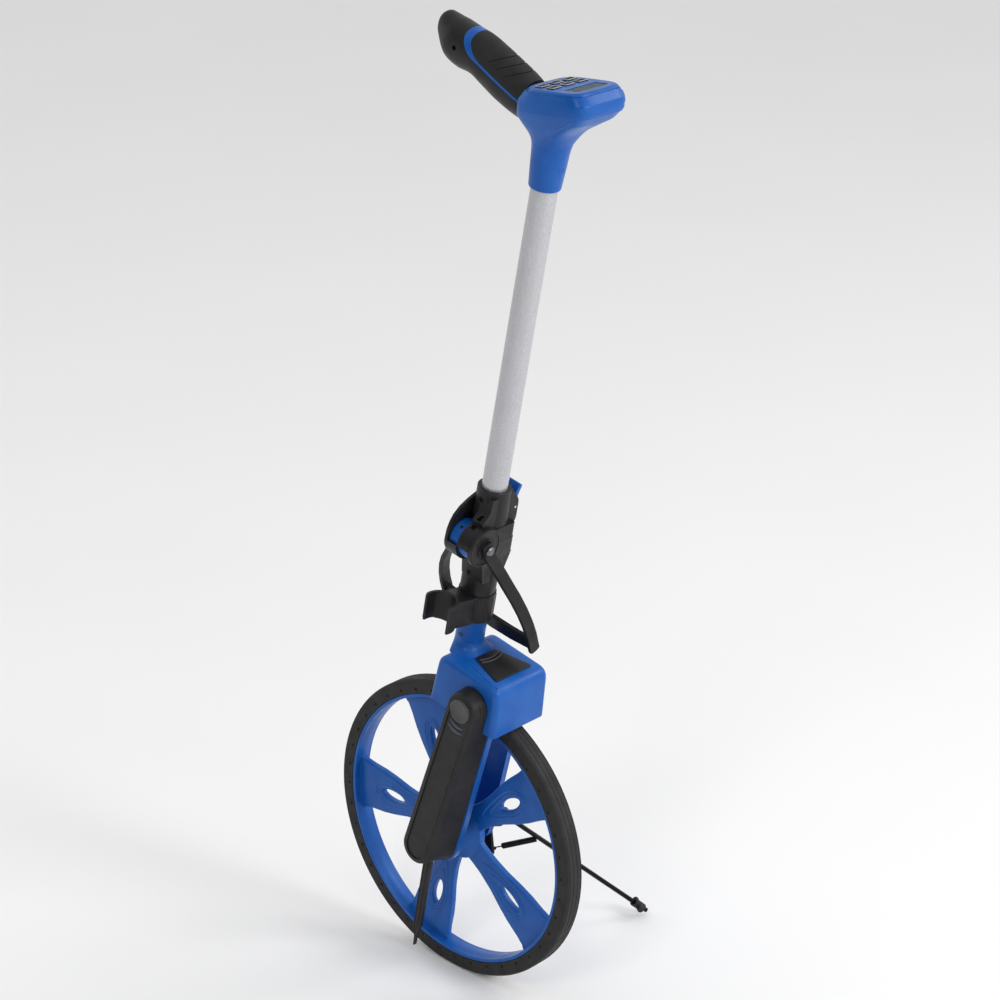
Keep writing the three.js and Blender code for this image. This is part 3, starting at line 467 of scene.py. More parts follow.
def between(stations, steps):
    """Smooth values between stations (Catmull-Rom on every column)."""
    rows = []
    last = len(stations) - 1
    for i in range(last):
        quad = [stations[max(i - 1, 0)], stations[i], stations[i + 1], stations[min(i + 2, last)]]
        for k in range(steps):
            t = k / steps
            rows.append([0.5 * (2 * b + (c - a) * t + (2 * a - 5 * b + 4 * c - d) * t * t
                                + (3 * b - a - 3 * c + d) * t ** 3) for a, b, c, d in zip(*quad)])
    return rows + [list(stations[-1])]


def arc(x, y, r, start, end, count):
    """Points along a stretch of a circle, from one angle to another."""
    return [(x + r * math.cos(start + (end - start) * i / count),
             y + r * math.sin(start + (end - start) * i / count)) for i in range(count + 1)]


def soften(corners, steps=5):
    """A closed outline of (x, y, radius) corners, each rounded by its radius."""
    points = []
    for i, (x, y, radius) in enumerate(corners):
        corner = Vector((x, y))
        before = Vector(corners[i - 1][:2])
        after = Vector(corners[(i + 1) % len(corners)][:2])
        if radius <= 0:
            points.append((x, y))
            continue
        enter = corner + (before - corner).normalized() * radius
        leave = corner + (after - corner).normalized() * radius
        for k in range(steps + 1):
            t = k / steps
            p = enter * (1 - t) ** 2 + corner * 2 * t * (1 - t) + leave * t * t
            points.append((p.x, p.y))
    return points


def inset(loop, amount):
    """The outline moved inwards (anticlockwise loops) by a small amount."""
    count = len(loop)
    moved = []
    for i, (x, y) in enumerate(loop):
        ax, ay = loop[i - 1]
        bx, by = loop[(i + 1) % count]
        d1 = Vector((x - ax, y - ay))
        d2 = Vector((bx - x, by - y))
        d1 = d1.normalized() if d1.length > 1e-9 else d2.normalized()
        d2 = d2.normalized() if d2.length > 1e-9 else d1
        n1 = Vector((-d1.y, d1.x))
        n2 = Vector((-d2.y, d2.x))
        n = n1 + n2
        scale = amount / max(0.35, (1 + n1.dot(n2)) / 2) / 2
        moved.append((x + n.x * scale, y + n.y * scale))
    return moved


def area(loop):
    """The area inside an outline, negative when it runs clockwise."""
    return sum(a[0] * b[1] - b[0] * a[1] for a, b in zip(loop, loop[1:] + loop[:1])) / 2


def plate(outline, low, high, radius, plane="uw", holes=(), steps=3):
    """An outline with holes swept from low to high, with rounded edges."""
    put = {"uw": lambda x, y, d: (x, d, y), "uv": lambda x, y, d: (x, y, d)}[plane]
    bm = bmesh.new()
    caps = {low: [], high: []}
    for k, loop in enumerate([outline, *holes]):
        loop = loop if area(loop) > 0 else loop[::-1]
        sign = 1 if k == 0 else -1
        sides = []
        for t in [math.pi / 2 * i / steps for i in range(steps + 1)]:
            sides.append((low + radius * (1 - math.cos(t)), radius * (1 - math.sin(t)) * sign))
        sides += [(high - (d - low), shift) for d, shift in reversed(sides)]
        rows = []
        for d, shift in sides:
            moved = inset(loop, shift) if abs(shift) > 1e-9 else loop
            rows.append([bm.verts.new(put(x, y, d)) for x, y in moved])
        for a, b in zip(rows, rows[1:]):
            for i in range(len(a)):
                j = (i + 1) % len(a)
                bm.faces.new((a[i], a[j], b[j], b[i]))
        caps[low].append(rows[0])
        caps[high].append(rows[-1])
    for rows in caps.values():
        edges = []
        for row in rows:
            edges += [bm.edges.get((row[i], row[(i + 1) % len(row)])) for i in range(len(row))]
        if len(rows) == 1:
            bm.faces.new(rows[0])
        else:
            bmesh.ops.triangle_fill(bm, use_beauty=True, edges=edges)
    return bm


def pipe(path, radius, sides=8, closed=False, flat=1.0, up=None):
    """A round bar along a path; flat squashes it along up."""
    points = [Vector(p) for p in path]
    count = len(points)
    rings = []
    normal = None
    for i, p in enumerate(points):
        if closed:
            tangent = (points[(i + 1) % count] - points[i - 1]).normalized()
        else:
            tangent = (points[min(i + 1, count - 1)] - points[max(i - 1, 0)]).normalized()
        if up is not None:
            normal = Vector(up)
            normal = (normal - tangent * normal.dot(tangent)).normalized()
        elif normal is None:
            normal = tangent.orthogonal().normalized()
        else:
            normal = (normal - tangent * normal.dot(tangent)).normalized()
        side = tangent.cross(normal)
        r = radius[i] if isinstance(radius, (list, tuple)) else radius
        rings.append([p + (normal * math.cos(a) * flat + side * math.sin(a)) * r
                      for a in around(sides)])
    return skin(rings, cap=not closed, wrap=closed)


def merge(*parts):
    """Joins the bmeshes into the first one."""
    bm = parts[0]
    for other in parts[1:]:
        mesh = bpy.data.meshes.new("part")
        other.to_mesh(mesh)
        other.free()
        bm.from_mesh(mesh)
        bpy.data.meshes.remove(mesh)
    return bm


def solid(bm):
    """A short-lived object for a boolean; it takes the bmesh."""
    bmesh.ops.recalc_face_normals(bm, faces=bm.faces)
    mesh = bpy.data.meshes.new("tool")
    bm.to_mesh(mesh)
    bm.free()
    tool = bpy.data.objects.new("tool", mesh)
    bpy.context.scene.collection.objects.link(tool)
    return tool


def boolean(operation, bm, *others):
    """Exact union, cut or intersection of closed skins; takes and returns bmeshes."""
    base = solid(bm)
    tools = [solid(other) for other in others]
    for tool in tools:
        modifier = base.modifiers.new("cut", "BOOLEAN")
        modifier.operation = operation
        modifier.solver = "EXACT"
        modifier.object = tool
    bpy.context.view_layer.update()
    result = bmesh.new()
    result.from_object(base, bpy.context.evaluated_depsgraph_get())
    for tool in [base, *tools]:
        mesh = tool.data
        bpy.data.objects.remove(tool)
        bpy.data.meshes.remove(mesh)
    return result


def box(u, v, w):
    """A box between two values on each axis."""
    bm = bmesh.new()
    bmesh.ops.create_cube(bm, size=1)
    size = Matrix.Diagonal((u[1] - u[0], v[1] - v[0], w[1] - w[0], 1))
    bm.transform(Matrix.Translation(((u[0] + u[1]) / 2, (v[0] + v[1]) / 2, (w[0] + w[1]) / 2)) @ size)
    return bm


def refined(node, material, width=0.0004, angle=38, cutter=None):
    """A finished copy of a CAD node: its flats cleaned, its edges rounded."""
    bm = bmesh.new()
    bm.from_mesh(frame["nodes"][node].data)
    bmesh.ops.remove_doubles(bm, verts=bm.verts, dist=2e-6)
    bmesh.ops.dissolve_limit(bm, angle_limit=math.radians(1.0), verts=bm.verts, edges=bm.edges)
    if cutter:
        bm = boolean("DIFFERENCE", bm, cutter)
    body = next(b for b, members in frame["record"]["behaviour"]["bodies"].items() if node in members)
    piece = make(f"{node}_finished", body, material, bm, smooth=angle, stands_for=(node,))
    if width:
        bevel = piece.modifiers.new("edges", "BEVEL")
        bevel.width = width
        bevel.segments = 2
        bevel.limit_method = "ANGLE"
        bevel.angle_limit = math.radians(angle)
        bevel.harden_normals = True
    return piece


# ---------- wheel ----------


def tyre():
    """The rubber tyre: dimpled side walls, rounded shoulders and a grooved tread."""

    def shape(r, d, angle):
        """Sinks the dimples into the tyre's two side walls."""
        if abs(abs(d) - TYRE_HALF) > 0.01 or not 146 < r < 151.5:
            return r, d
        step = 2 * math.pi / DIMPLES
        across = ((angle - DIMPLE_PHASE + step / 2) % step - step / 2) * DIMPLE_AT
        inside = (DIMPLE_R - math.hypot(across, r - DIMPLE_AT)) / 0.45
        return r, d - math.copysign(DIMPLE_DEPTH * min(1.0, max(0.0, inside)), d)

    side = [144.4, 145.4, 145.6, 146.9, 147.2, 147.6, 148.1, DIMPLE_AT, 149.3, 149.8, 150.2, 150.5,
            153.0, 156.4]
    near = [(r, -TYRE_HALF - (0.25 if r < 145.5 else 0)) for r in side]
    shoulder = arc(156.6, -TYRE_HALF + 2.2, 2.2, -math.pi / 2, -0.25, 4)
    near += shoulder[1:]
    tread = []
    for y in TREAD_GROOVES:
        tread += [(WHEEL_R - 0.05, y - 0.75), (WHEEL_R - 0.55, y - 0.45), (WHEEL_R - 0.55, y + 0.45),
                  (WHEEL_R - 0.05, y + 0.75)]
        if y < TREAD_GROOVES[-1]:
            tread.append((WHEEL_R, y + 2.58))
    far = [(r, -d) for r, d in reversed(near)]
    make("tyre_tread", "wheel", TYRE, turned(near + tread + far, "v", segments=1200, shape=shape), WHEEL, 32,
         ("tyre",))


def spoke_half(r):
    """Half the width of a spoke at a distance from the axle."""
    stops = [(20, 15.5), (34, 13.4), (50, 13.4), (70, 16.2), (90, 21.2), (105, 24), (122, 25.6), (132, 27.4),
             (137, 30.2), (140.5, 34.5)]
    for (r0, h0), (r1, h1) in zip(stops, stops[1:]):
        if r <= r1:
            t = (r - r0) / (r1 - r0)
            return h0 + (h1 - h0) * t * (2 - t if r0 >= 132 else 1)
    return stops[-1][1]


def turn(points, angle):
    """Outline points turned about the axle."""
    c, s = math.cos(angle), math.sin(angle)
    return [(x * c - y * s, x * s + y * c) for x, y in points]


def spoke_outline():
    """A spoke lying along u, from inside the hub to inside the rim."""
    reach = [24 + i * 3 for i in range(37)] + [134, 136, 138, 139.4, 140.6]
    side = [(r, spoke_half(r)) for r in reach if r * r + spoke_half(r) ** 2 < 142.5 ** 2]
    x, y = side[-1]
    end = math.atan2(y, x)
    crown = arc(0, 0, math.hypot(x, y), -end, end, 12)[1:-1]
    return [(x, -y) for x, y in side] + crown + side[::-1]


def contour(grow, tail):
    """The raised line round a spoke's eye, drawn out to a narrow end at the hub."""
    drop = []
    for t in around(64):
        x = 92 + (17.5 + grow) * math.cos(t)
        y = (6.4 + grow) * math.sin(t)
        if x < 92:
            back = (92 - x) / (17.5 + grow)
            x = 92 - back * (92 - tail)
            y *= 1 - 0.5 * back
        drop.append((x, y))
    return drop


def rim():
    """The rim, the five spokes with their eyes and contour lines, and the hub."""
    parts = []
    eye = [(91 + 16 * math.cos(t), 5.75 * math.sin(t)) for t in around(44)]
    for i in range(SPOKES):
        angle = math.pi / SPOKES * (2 * i + 1)
        spoke = turn(spoke_outline(), angle)
        parts.append(plate(spoke, -SPOKE_HALF, SPOKE_HALF, 1.2, "uw", [turn(eye, angle)]))
        for grow, tail in ((3.2, 60), (6.8, 46)):
            for side in (-1, 1):
                path = [(x, side * (SPOKE_HALF - 0.15), z) for x, z in turn(contour(grow, tail), angle)]
                parts.append(pipe(path, 0.85, 6, True))
    lip = [(141.2, -TYRE_HALF), (143.6, -TYRE_HALF), (144, -TYRE_HALF + 0.5), (144, TYRE_HALF - 0.5),
           (143.6, TYRE_HALF), (141.2, TYRE_HALF), (140.5, TYRE_HALF - 0.8), (140.2, 5), (139.7, 3.4),
           (139.7, -3.4), (140.2, -5), (140.5, -TYRE_HALF + 0.8)]
    cone = [(11.5, -HUB_HALF), (18.3, -HUB_HALF), (19.2, -HUB_HALF + 0.6), (21.0, -14.6), (23.2, -11.6),
            (25.8, -8.6), (28.6, -6.1), (31.2, -4.5), (33.4, -3.2)]
    parts.append(turned(lip, "v", segments=300))
    parts.append(turned(cone + [(r, -d) for r, d in reversed(cone)], "v", segments=96))
    make("rim_and_spokes", "wheel", BLUE, merge(*parts), WHEEL, 32, ("wheel_rim",))


tyre()
rim()
done = {"tyre", "wheel_rim"}

# ---------- fork housing, label and neck ----------


def housing():
    """The housing over the wheel, and the neck that rises out of it to the mast."""
    outline = soften([(-37.6, 130, 0), (55.1, 130, 0), (48.6, HOUSING_TOP, 12), (-31, HOUSING_TOP, 12)], 8)
    shell = plate(outline, -HOUSING_HALF, HOUSING_HALF, 6, "uw", steps=7)
    below = box((-80, 90), (-60, 60), (100, HOUSING_BASE))
    room_half = HOUSING_HALF - HOUSING_WALL
    room = box((-28, 46), (-room_half, room_half), (140, HOUSING_TOP - HOUSING_WALL))
    reach = WHEEL_R + 3
    slot = turned([(0.01, -WHEEL_SLOT_HALF), (reach, -WHEEL_SLOT_HALF), (reach, WHEEL_SLOT_HALF),
                   (0.01, WHEEL_SLOT_HALF)], "v", segments=120)
    body = boolean("DIFFERENCE", shell, below, room, slot)
    collar = [(NECK_BORE, 240), (NECK_BORE, NECK_TOP - 0.6), (NECK_R - 0.7, NECK_TOP),
              (NECK_R, NECK_TOP - 0.7), (NECK_R, NECK_FOOT), (NECK_BORE, NECK_FOOT)]
    neck = turned(collar, "w", (MAST_U, 0, 0), 72)
    foot_half_u, foot_half_v, foot_u = 17, 24.5, -16.5
    top_half = NECK_R - 0.2
    rings = []
    for t in (0, 0.14, 0.28, 0.42, 0.56, 0.7, 0.85, 1):
        ease = 1 - (1 - t) ** 2.4
        half_u = foot_half_u + (top_half - foot_half_u) * ease
        half_v = foot_half_v + (top_half - foot_half_v) * ease
        middle = foot_u + (MAST_U - foot_u) * ease
        height = NECK_FOOT + 0.5 + 14 * t ** 1.6
        power = 5 - 3 * ease
        rings.append(oval_ring(96, power, half_u, half_v, lambda a, b: (middle + a, b, height)))
    make("housing_shell", "frame", BLUE, merge(body, neck, skin(rings)), MAST, 34, ("fender_housing",))
    crease = [(46, -31, 207.6), (30, -29.5, 208.05), (10, -26, 208.05), (-2, -21.5, 208)]
    make("housing_crease", "frame", BLUE, pipe(crease, [0.2, 0.75, 0.75, 0.2], 8), MAST)


def label():
    """The plain dark plate on the housing, with its two curved ridges."""
    outline = soften([(-4, -14, 2), (36, -25, 3), (36, 25, 3), (-4, 14, 2)], 5)
    base = HOUSING_TOP + 0.3
    panel = plate(outline, base, base + 1.2, 0.4, "uv")
    ridges = []
    for start in (1.2, 5.6):
        half = 12.8 + start * 0.25
        line = []
        for i in range(15):
            v = -half + i * 2 * half / 14
            line.append((start + 3.2 * (1 - (v / 14.5) ** 2), v, base + 1.25))
        ridges.append(pipe(line, 0.85, 8))
    make("label_plate", "frame", BLACK, panel, MAST, 30, ("label_panel",))
    make("label_ridges", "frame", CAP_GREY, merge(*ridges), MAST, 40)


housing()
label()
done |= {"fender_housing", "label_panel"}

# ---------- arm cover ----------


def arm_cover():
    """The long cover over the near fork leg, with its round cap and fine lines."""
    face = COVER_FACE
    x1, y1 = COVER_TOP
    steps = 14

    def ring(v, x0, y0, r0, r1):
        direction = math.atan2(y1 - y0, x1 - x0)
        low = arc(x0, y0, r0, direction + math.pi / 2, direction + 1.5 * math.pi, 22)
        high = arc(x1, y1, r1, direction - math.pi / 2, direction + math.pi / 2, 22)
        return [(x, v, y) for x, y in low + high]

    rings = [ring(COVER_BACK, 0, 0, 24.3, 20.5), ring(face + 14, -3.7, -4.1, 20.9, 18.9),
             ring(face + 4, -5.2, -5.6, 19, 18.2), ring(face + 2.4, -5.6, -6, 18.4, 17.9),
             ring(face + 1.2, -5.8, -6.5, 17.8, 17.4), ring(face + 0.35, *COVER_FOOT, 17, 16.9),
             ring(face, *COVER_FOOT, 16.2, 16.1), ring(face, *COVER_FOOT, 13.6, 13.6),
             ring(face + 0.7, *COVER_FOOT, 12.8, 12.8)]
    border = [(x, face - 0.1, z) for x, _, z in ring(face, *COVER_FOOT, 13.0, 13.0)]
    lines = [pipe(border, 0.62, 6, True)]
    for depth in (9.5, 13.5):
        radius = 17.9 + 2.55 * depth / (COVER_BACK - face)
        path = [(x, face + depth, y) for x, y in arc(x1, y1, radius, -0.95, 0.75, steps)]
        lines.append(pipe(path, [0.1] + [0.7] * (len(path) - 2) + [0.1], 6))
    make("cover_shell", "frame", BLACK, merge(skin(rings), *lines), MAST, 34, ("arm_cover",))
    cap = [(0.01, face + 0.5), (0.01, face - 1.15), (8.6, face - 1.15), (9.3, face - 1.35),
           (9.8, face - 1.95), (11.2, face - 2.0), (12.1, face - 1.5), (12.4, face - 0.7), (12.4, face + 0.5)]
    make("cover_cap", "frame", CAP_GREY, turned(cap, "v", (x1, 0, y1), 72), MAST, 30, ("arm_cover_cap",))
    down = math.atan2(y1 - COVER_FOOT[1], x1 - COVER_FOOT[0]) + math.pi
    for k, (radius, spread) in enumerate(((19.5, 0.50), (25.5, 0.42))):
        path = [(x, face + 0.75, y) for x, y in arc(x1, y1, radius, down - spread, down + spread, steps)]
        widths = [0.35 + 1.15 * math.sin(math.pi * i / steps) for i in range(steps + 1)]
        make(f"cover_groove_{k + 1}", "frame", GROOVE_GREY, pipe(path, widths, 8), MAST, 40)


def pointer():
    """The blade that points at the ground, with a ridge down its middle."""
    blade = [(-5.2, 6), (5.2, 6), (4.7, -110), (1.4, -122), (0.5, -136.5), (-0.9, -136.5), (-1.8, -122),
             (-5, -110)]
    ridge = pipe([(0, -40.1, -20), (-0.1, -40.1, -112)], 1.5, 8, flat=0.5, up=(0, 1, 0))
    parts = [plate(blade, -40, -36, 0.35, "uw"), ridge]
    for side in (-1, 1):
        edge = [(side * 4.4, -40, -20), (side * 4.0 - 0.1, -40, -110), (side * 0.9 - 0.2, -40, -122)]
        parts.append(pipe(edge, 0.6, 8))
    make("pointer_blade", "frame", BLACK, merge(*parts), MAST, 34, ("pointer",))


arm_cover()
pointer()
done |= {"arm_cover", "arm_cover_cap", "pointer"}

# ---------- tubes, spring and small trim ----------


def tubes():
    """The two drawn tubes of the mast."""
    for node, body, (low, high) in (("lower_tube", "frame", LOWER_TUBE), ("upper_tube", "mast", UPPER_TUBE)):
        lip = TUBE_R - 0.4
        wall = [(TUBE_BORE, low), (lip, low), (TUBE_R, low + 0.4), (TUBE_R, high - 0.4), (lip, high),
                (TUBE_BORE, high)]
        make(f"{node}_drawn", body, TUBE, turned(wall, "w", (MAST_U, 0, 0), 96), MAST, 40, (node,))


def screw(name, body, at, face, stands_for):
    """A pan-head screw with a hexagonal socket, its head standing out to the near side."""
    put = place_on("v", at)

    def ring(r, d, hexagon=False):
        points = []
        for t in around(48):
            corner = 0.92 / math.cos((t + math.pi / 6) % (math.pi / 3) - math.pi / 6) if hexagon else 1
            points.append(put(r * corner * math.cos(t), r * corner * math.sin(t), face - d))
        return points

    r, h = SCREW_HEAD_R, SCREW_HEAD
    rings = [ring(r * 0.9, 0), ring(r, h * 0.35), ring(r * 0.96, h * 0.7), ring(r * 0.8, h),
             ring(r * 0.5, h, True), ring(r * 0.46, h * 0.35, True)]
    make(name, body, BLACK_STEEL, skin(rings), MAST, 40, stands_for)


def spring():
    """The coil between the bracket's hook and the stand, which it follows at its far end."""
    start = Vector(SPRING_HOOK)
    end = Vector(STAND_PIVOT).lerp(Vector(STAND_FOOT), SPRING_REACH)
    line = end - start
    axis = line.normalized()
    side = axis.orthogonal().normalized()
    up = axis.cross(side)
    first, last = 0.12, 0.93
    path = [start + side * 2.2 + axis * -1.5, start + axis * -3.2, start - side * 2.2 + axis * -1.0,
            start - side * 1.4 + axis * 1.6, start + axis * 2.6]
    count = SPRING_TURNS * TURN_STEPS
    for i in range(count + 1):
        t = 2 * math.pi * i / TURN_STEPS
        ease = min(1, 2 * i / TURN_STEPS, 2 * (count - i) / TURN_STEPS)
        along = start + line * (first + (last - first) * i / count)
        path.append(along + (side * math.cos(t) + up * math.sin(t)) * SPRING_R * ease)
    path += [start + line * 0.95, end - axis * 1.2]
    make("stand_coil", "frame", BLACK_STEEL, pipe(path, SPRING_WIRE, 8), MAST, 60, ("stand_spring",),
         ("stand", MAST @ start, MAST @ end))


tubes()
spring()
done |= {"lower_tube", "upper_tube", "stand_spring"}
for node, body, w, face in (("neck_screw", "frame", 225, -NECK_R - 0.1),
                            ("lower_bracket_screw", "frame", 298, -17.6),
                            ("upper_bracket_screw", "mast", 379, -16.6),
                            ("socket_screw", "mast", 716, -15.9)):
    screw(f"{node}_head", body, (MAST_U, 0, w), face + SCREW_HEAD, (node,))
    done.add(node)

# ---------- display head ----------
RISE = math.tan(PANEL_SLOPE)


def head():
    """The display head: a funnel from the tube up to the square tray, with its seam."""

    def ring(height, middle, half_u, half_v, power, slope):
        return oval_ring(120, power, half_u, half_v,
                         lambda a, b: (middle + a, b, height + slope * (middle + a - PANEL_U)))

    funnel = between([(701.4, MAST_U, 15, 15, 2, 0), (720, MAST_U, 16.4, 16.4, 2, 0),
                      (740, MAST_U, 17.9, 17.9, 2, 0.01), (750, -26.4, 20.6, 20.2, 2.3, 0.05),
                      (762, -25, 27.2, 25.6, 3.1, 0.13), (773, -17, 37.4, 29.6, 5, 0.22)], 6)
    sides = [(774, -16.6, 37.9, 30.1, 5.2, 0.225), (780.5, -12.6, 39.8, 32.8, 5.6, RISE),
             (781.5, -12.65, 39.9, 33, 5.6, RISE), (790.6, -13.5, 39.5, 33, 5.6, RISE),
             (791.8, -13.7, 39.1, 32.8, 5.6, RISE), (797.8, -14.4, 35, 31.9, 5.2, RISE),
             (799, PANEL_U, 34.2, 31.4, 5.2, RISE), (799, PANEL_U, 31, 28.6, 5.2, RISE),
             (786, PANEL_U, 31, 28.6, 5.2, RISE)]
    socket = [(724, 12.8), (HEAD_FOOT + 0.5, 12.8), (HEAD_FOOT, 13.2), (HEAD_FOOT, 14.5)]
    rings = [ring(w, MAST_U, r, r, 2, 0) for w, r in socket]
    rings += [ring(*row) for row in funnel] + [ring(*row) for row in sides]
    make("head_body", "mast", BLUE, skin(rings), MAST, 26, ("head_shell",))
    dimple = turned([(0.01, -0.9), (1.9, -0.5), (2.4, 0.25), (3.1, 0.1), (3.2, -1), (0.01, -1.4)], "u",
                    (MAST_U + 16.6, 0, 723), 32)
    make("socket_dimple", "mast", BLUE, dimple, MAST, 30)
    half = [(-23.9, 18.7, 745.4), (-13.1, 23.4, 759.8), (-1.5, 27.4, 771.1), (6.7, 28.6, 777),
            (17, 29.7, 786.1), (22.8, 27.1, 789.6), (25.4, 20.9, 790.2), (25.8, 12.3, 790.3)]
    near = between([(u, -v, w) for u, v, w in half], 3)
    far = [(u, -v, w) for u, v, w in reversed(near)]
    widths = [0.15 + 0.5 * min(1, i / 5, (len(near) * 2 - 1 - i) / 5) for i in range(len(near) * 2)]
    creases = [pipe(near + far, widths, 8)]
    for side in (-1, 1):
        corner = [(18.3, side * 27.7, 805.6), (20.3, side * 28.2, 802.8), (22.7, side * 28.4, 797.9),
                  (23.2, side * 27.5, 790.5)]
        creases.append(pipe(corner, [0.2, 0.5, 0.5, 0.3], 8))
    make("head_creases", "mast", BLUE, merge(*creases), MAST, 40)


head()
done.add("head_shell")

# ---------- grip ----------
# Distance along the grip, half its height there and how far its middle is raised.
STATIONS = [(0, 19.5, -1), (12, 21, 0), (32, 21.6, 1.6), (50, 21.2, 3.8), (68, 20.6, 5.6), (84, 21.2, 3.4),
            (98, 20.4, 3.4), (106, 18, 4.8), (113, 14.8, 7.6), (118, 12, 9.6), (121, 8.5, 10.2)]


def grip_body(shrink):
    """The whole outer form of the grip, made smaller by a margin."""
    rings = []
    for x, half, middle in between(STATIONS, 5):
        tall = half - shrink
        rings.append(oval_ring(88, 2.2, tall, tall * 0.86, lambda a, b: (x, b, a + middle)))
    return skin(rings)


def insert_zone(grow, end_grow):
    """The space that the soft insert fills, widened by the two margins."""
    end = INSERT_END + end_grow
    outline = soften([(-20, -1.5 - grow, 0), (end - 12, 8.5 - grow, 8), (end + 1, 20, 7), (end - 2, 60, 0),
                      (-20, 60, 0)], 6)
    return plate(outline, -40, 40, 0.01, "uw", steps=1)


def door_block(grow, top):
    """The space of the battery door, under the grip."""
    start, end = DOOR_START - grow, DOOR_END + grow
    outline = [(start, -40), (end, -40), (end, top + 4.5), (start, top)]
    return plate(outline, -8 - grow, 8 + grow, 0.01, "uw", steps=1)


def groove(start):
    """A thin curved slice across the grip's top, for one finger groove."""
    centre = start + 22
    limit = start + 15
    loop = arc(0, 0, 1, math.pi * 0.5, math.pi * 1.5, 20)
    outer = [(centre + x * 22.6, y * 19) for x, y in loop]
    inner = [(centre + x * 21.4, y * 18.2) for x, y in reversed(loop)]
    kept = [(x, y) for x, y in outer + inner if x < limit]
    return plate(kept, 2, 60, 0.01, "uv", steps=1)


def ahead_of_grip():
    """A block that trims the grip's skins back from the head."""
    return box((-30, 2), (-40, 40), (-40, 40))


def grip_wall():
    """The outermost 3 mm or so of the grip."""
    return boolean("DIFFERENCE", grip_body(0), grip_body(3))


def grip():
    """The grip's core with its cell bays, the blue line and the soft insert."""
    bays = []
    for side in (-1, 1):
        profile = [(0.01, 14), (CELL_BAY_R, 14), (CELL_BAY_R, 70), (0.01, 70)]
        bays.append(turned(profile, "u", (0, side * CELL_SIDE, 0), 40))
    tether = turned([(0.01, -40), (2.4, -40), (2.4, 40), (0.01, 40)], "v", (87, 0, 4), 32)
    bare = boolean("DIFFERENCE", grip_body(0), insert_zone(2.2, 9.3))
    core = boolean("UNION", bare, grip_body(3.3))
    core = boolean("DIFFERENCE", core, *bays, door_block(0.3, -8), tether)
    make("grip_handle", "mast", BLACK, core, GRIP, 30, ("grip_core",))
    trim = boolean("INTERSECT", grip_wall(), insert_zone(1.9, 9))
    trim = boolean("DIFFERENCE", trim, insert_zone(0.3, 0.3), ahead_of_grip())
    make("grip_blue_line", "mast", BLUE, trim, GRIP, 30, ("grip_trim",))
    pad = boolean("INTERSECT", grip_wall(), insert_zone(0, 0))
    cuts = [boolean("DIFFERENCE", groove(start), grip_body(1.2)) for start in (13, 24, 35)]
    pad = boolean("DIFFERENCE", pad, ahead_of_grip(), *cuts)
    make("grip_pad", "mast", RUBBER, pad, GRIP, 30, ("grip_insert",))


grip()
done |= {"grip_core", "grip_trim", "grip_insert"}

# ---------- hinge, clip and button details ----------


def hinge_details():
    """Raised rings on the near disc and on the far plate of the hinge."""
    at = (0, HINGE_V, HINGE_W)
    face = HINGE_MID + HINGE_HALF
    rings = []
    for inner, outer, lift in ((17.6, 19.2, 0.6), (11.0, 12.3, 0.5)):
        rings.append(turned([(inner, face - 0.4), (inner + 0.35, face + lift), (outer - 0.35, face + lift),
                             (outer, face - 0.4)], "u", at, 72))
    make("hinge_disc_rings", "frame", BLACK, merge(*rings), MAST, 30)
    far = HINGE_MID - HINGE_HALF
    back = [(18.2, far + 0.4), (18.5, far - 0.5), (19.6, far - 0.5), (19.9, far + 0.4)]
    make("hinge_plate_ring", "mast", BLACK, turned(back, "u", at, 72), MAST, 30)


def drum_recess():
    """The round mark on the hinge drum's rim: a raised ring round a dark disc."""
    mark_u, mark_v, mark_w = DRUM_MARK
    lean = math.atan2(mark_w - HINGE_W, mark_v - HINGE_V)

    def on_rim(x, y, lift):
        angle = lean + y / DRUM_R
        r = DRUM_R + lift
        return (mark_u + x, HINGE_V + r * math.cos(angle), HINGE_W + r * math.sin(angle))

    circle = [(math.cos(t), math.sin(t)) for t in around(24)]
    ring = pipe([on_rim(2.5 * x, 2.5 * y, 0) for x, y in circle], 0.45, 8, True)
    make("drum_recess_ring", "frame", BLUE, ring, MAST, 40)
    disc = skin([[on_rim(1.9 * x, 1.9 * y, lift) for x, y in circle] for lift in (-0.6, 0.12)])
    make("drum_recess", "frame", BLACK, disc, MAST, 40)


def bracket_window():
    """The slanted window in the upper bracket's web: a recess with a frame round it."""
    corners = [(-22.6, -25.0, 361.6), (-19.6, -20.0, 367.2), (-13.8, -20.0, 367.2), (-16.4, -25.0, 361.6)]
    out = Vector((0, -0.75, 0.66))
    cutter = skin([[Vector(p) + out * d for p in corners] for d in (-4, 3)])
    cutter.transform(MAST)
    refined("upper_bracket", BLACK, cutter=cutter)
    border = []
    for a, b in zip(corners, corners[1:] + corners[:1]):
        border += [tuple(Vector(a).lerp(Vector(b), t)) for t in (0.12, 0.5, 0.88)]
    make("bracket_window_frame", "mast", BLACK, pipe(border, 0.55, 8, True), MAST, 40)


def upright_rib(u, v, low, high, radius):
    """A rib that fades in and out over its first and last 0.8 mm."""
    path = [(u, v, low), (u, v, low + 0.8), (u, v, high - 0.8), (u, v, high)]
    return pipe(path, [0.2, radius, radius, 0.2], 8)


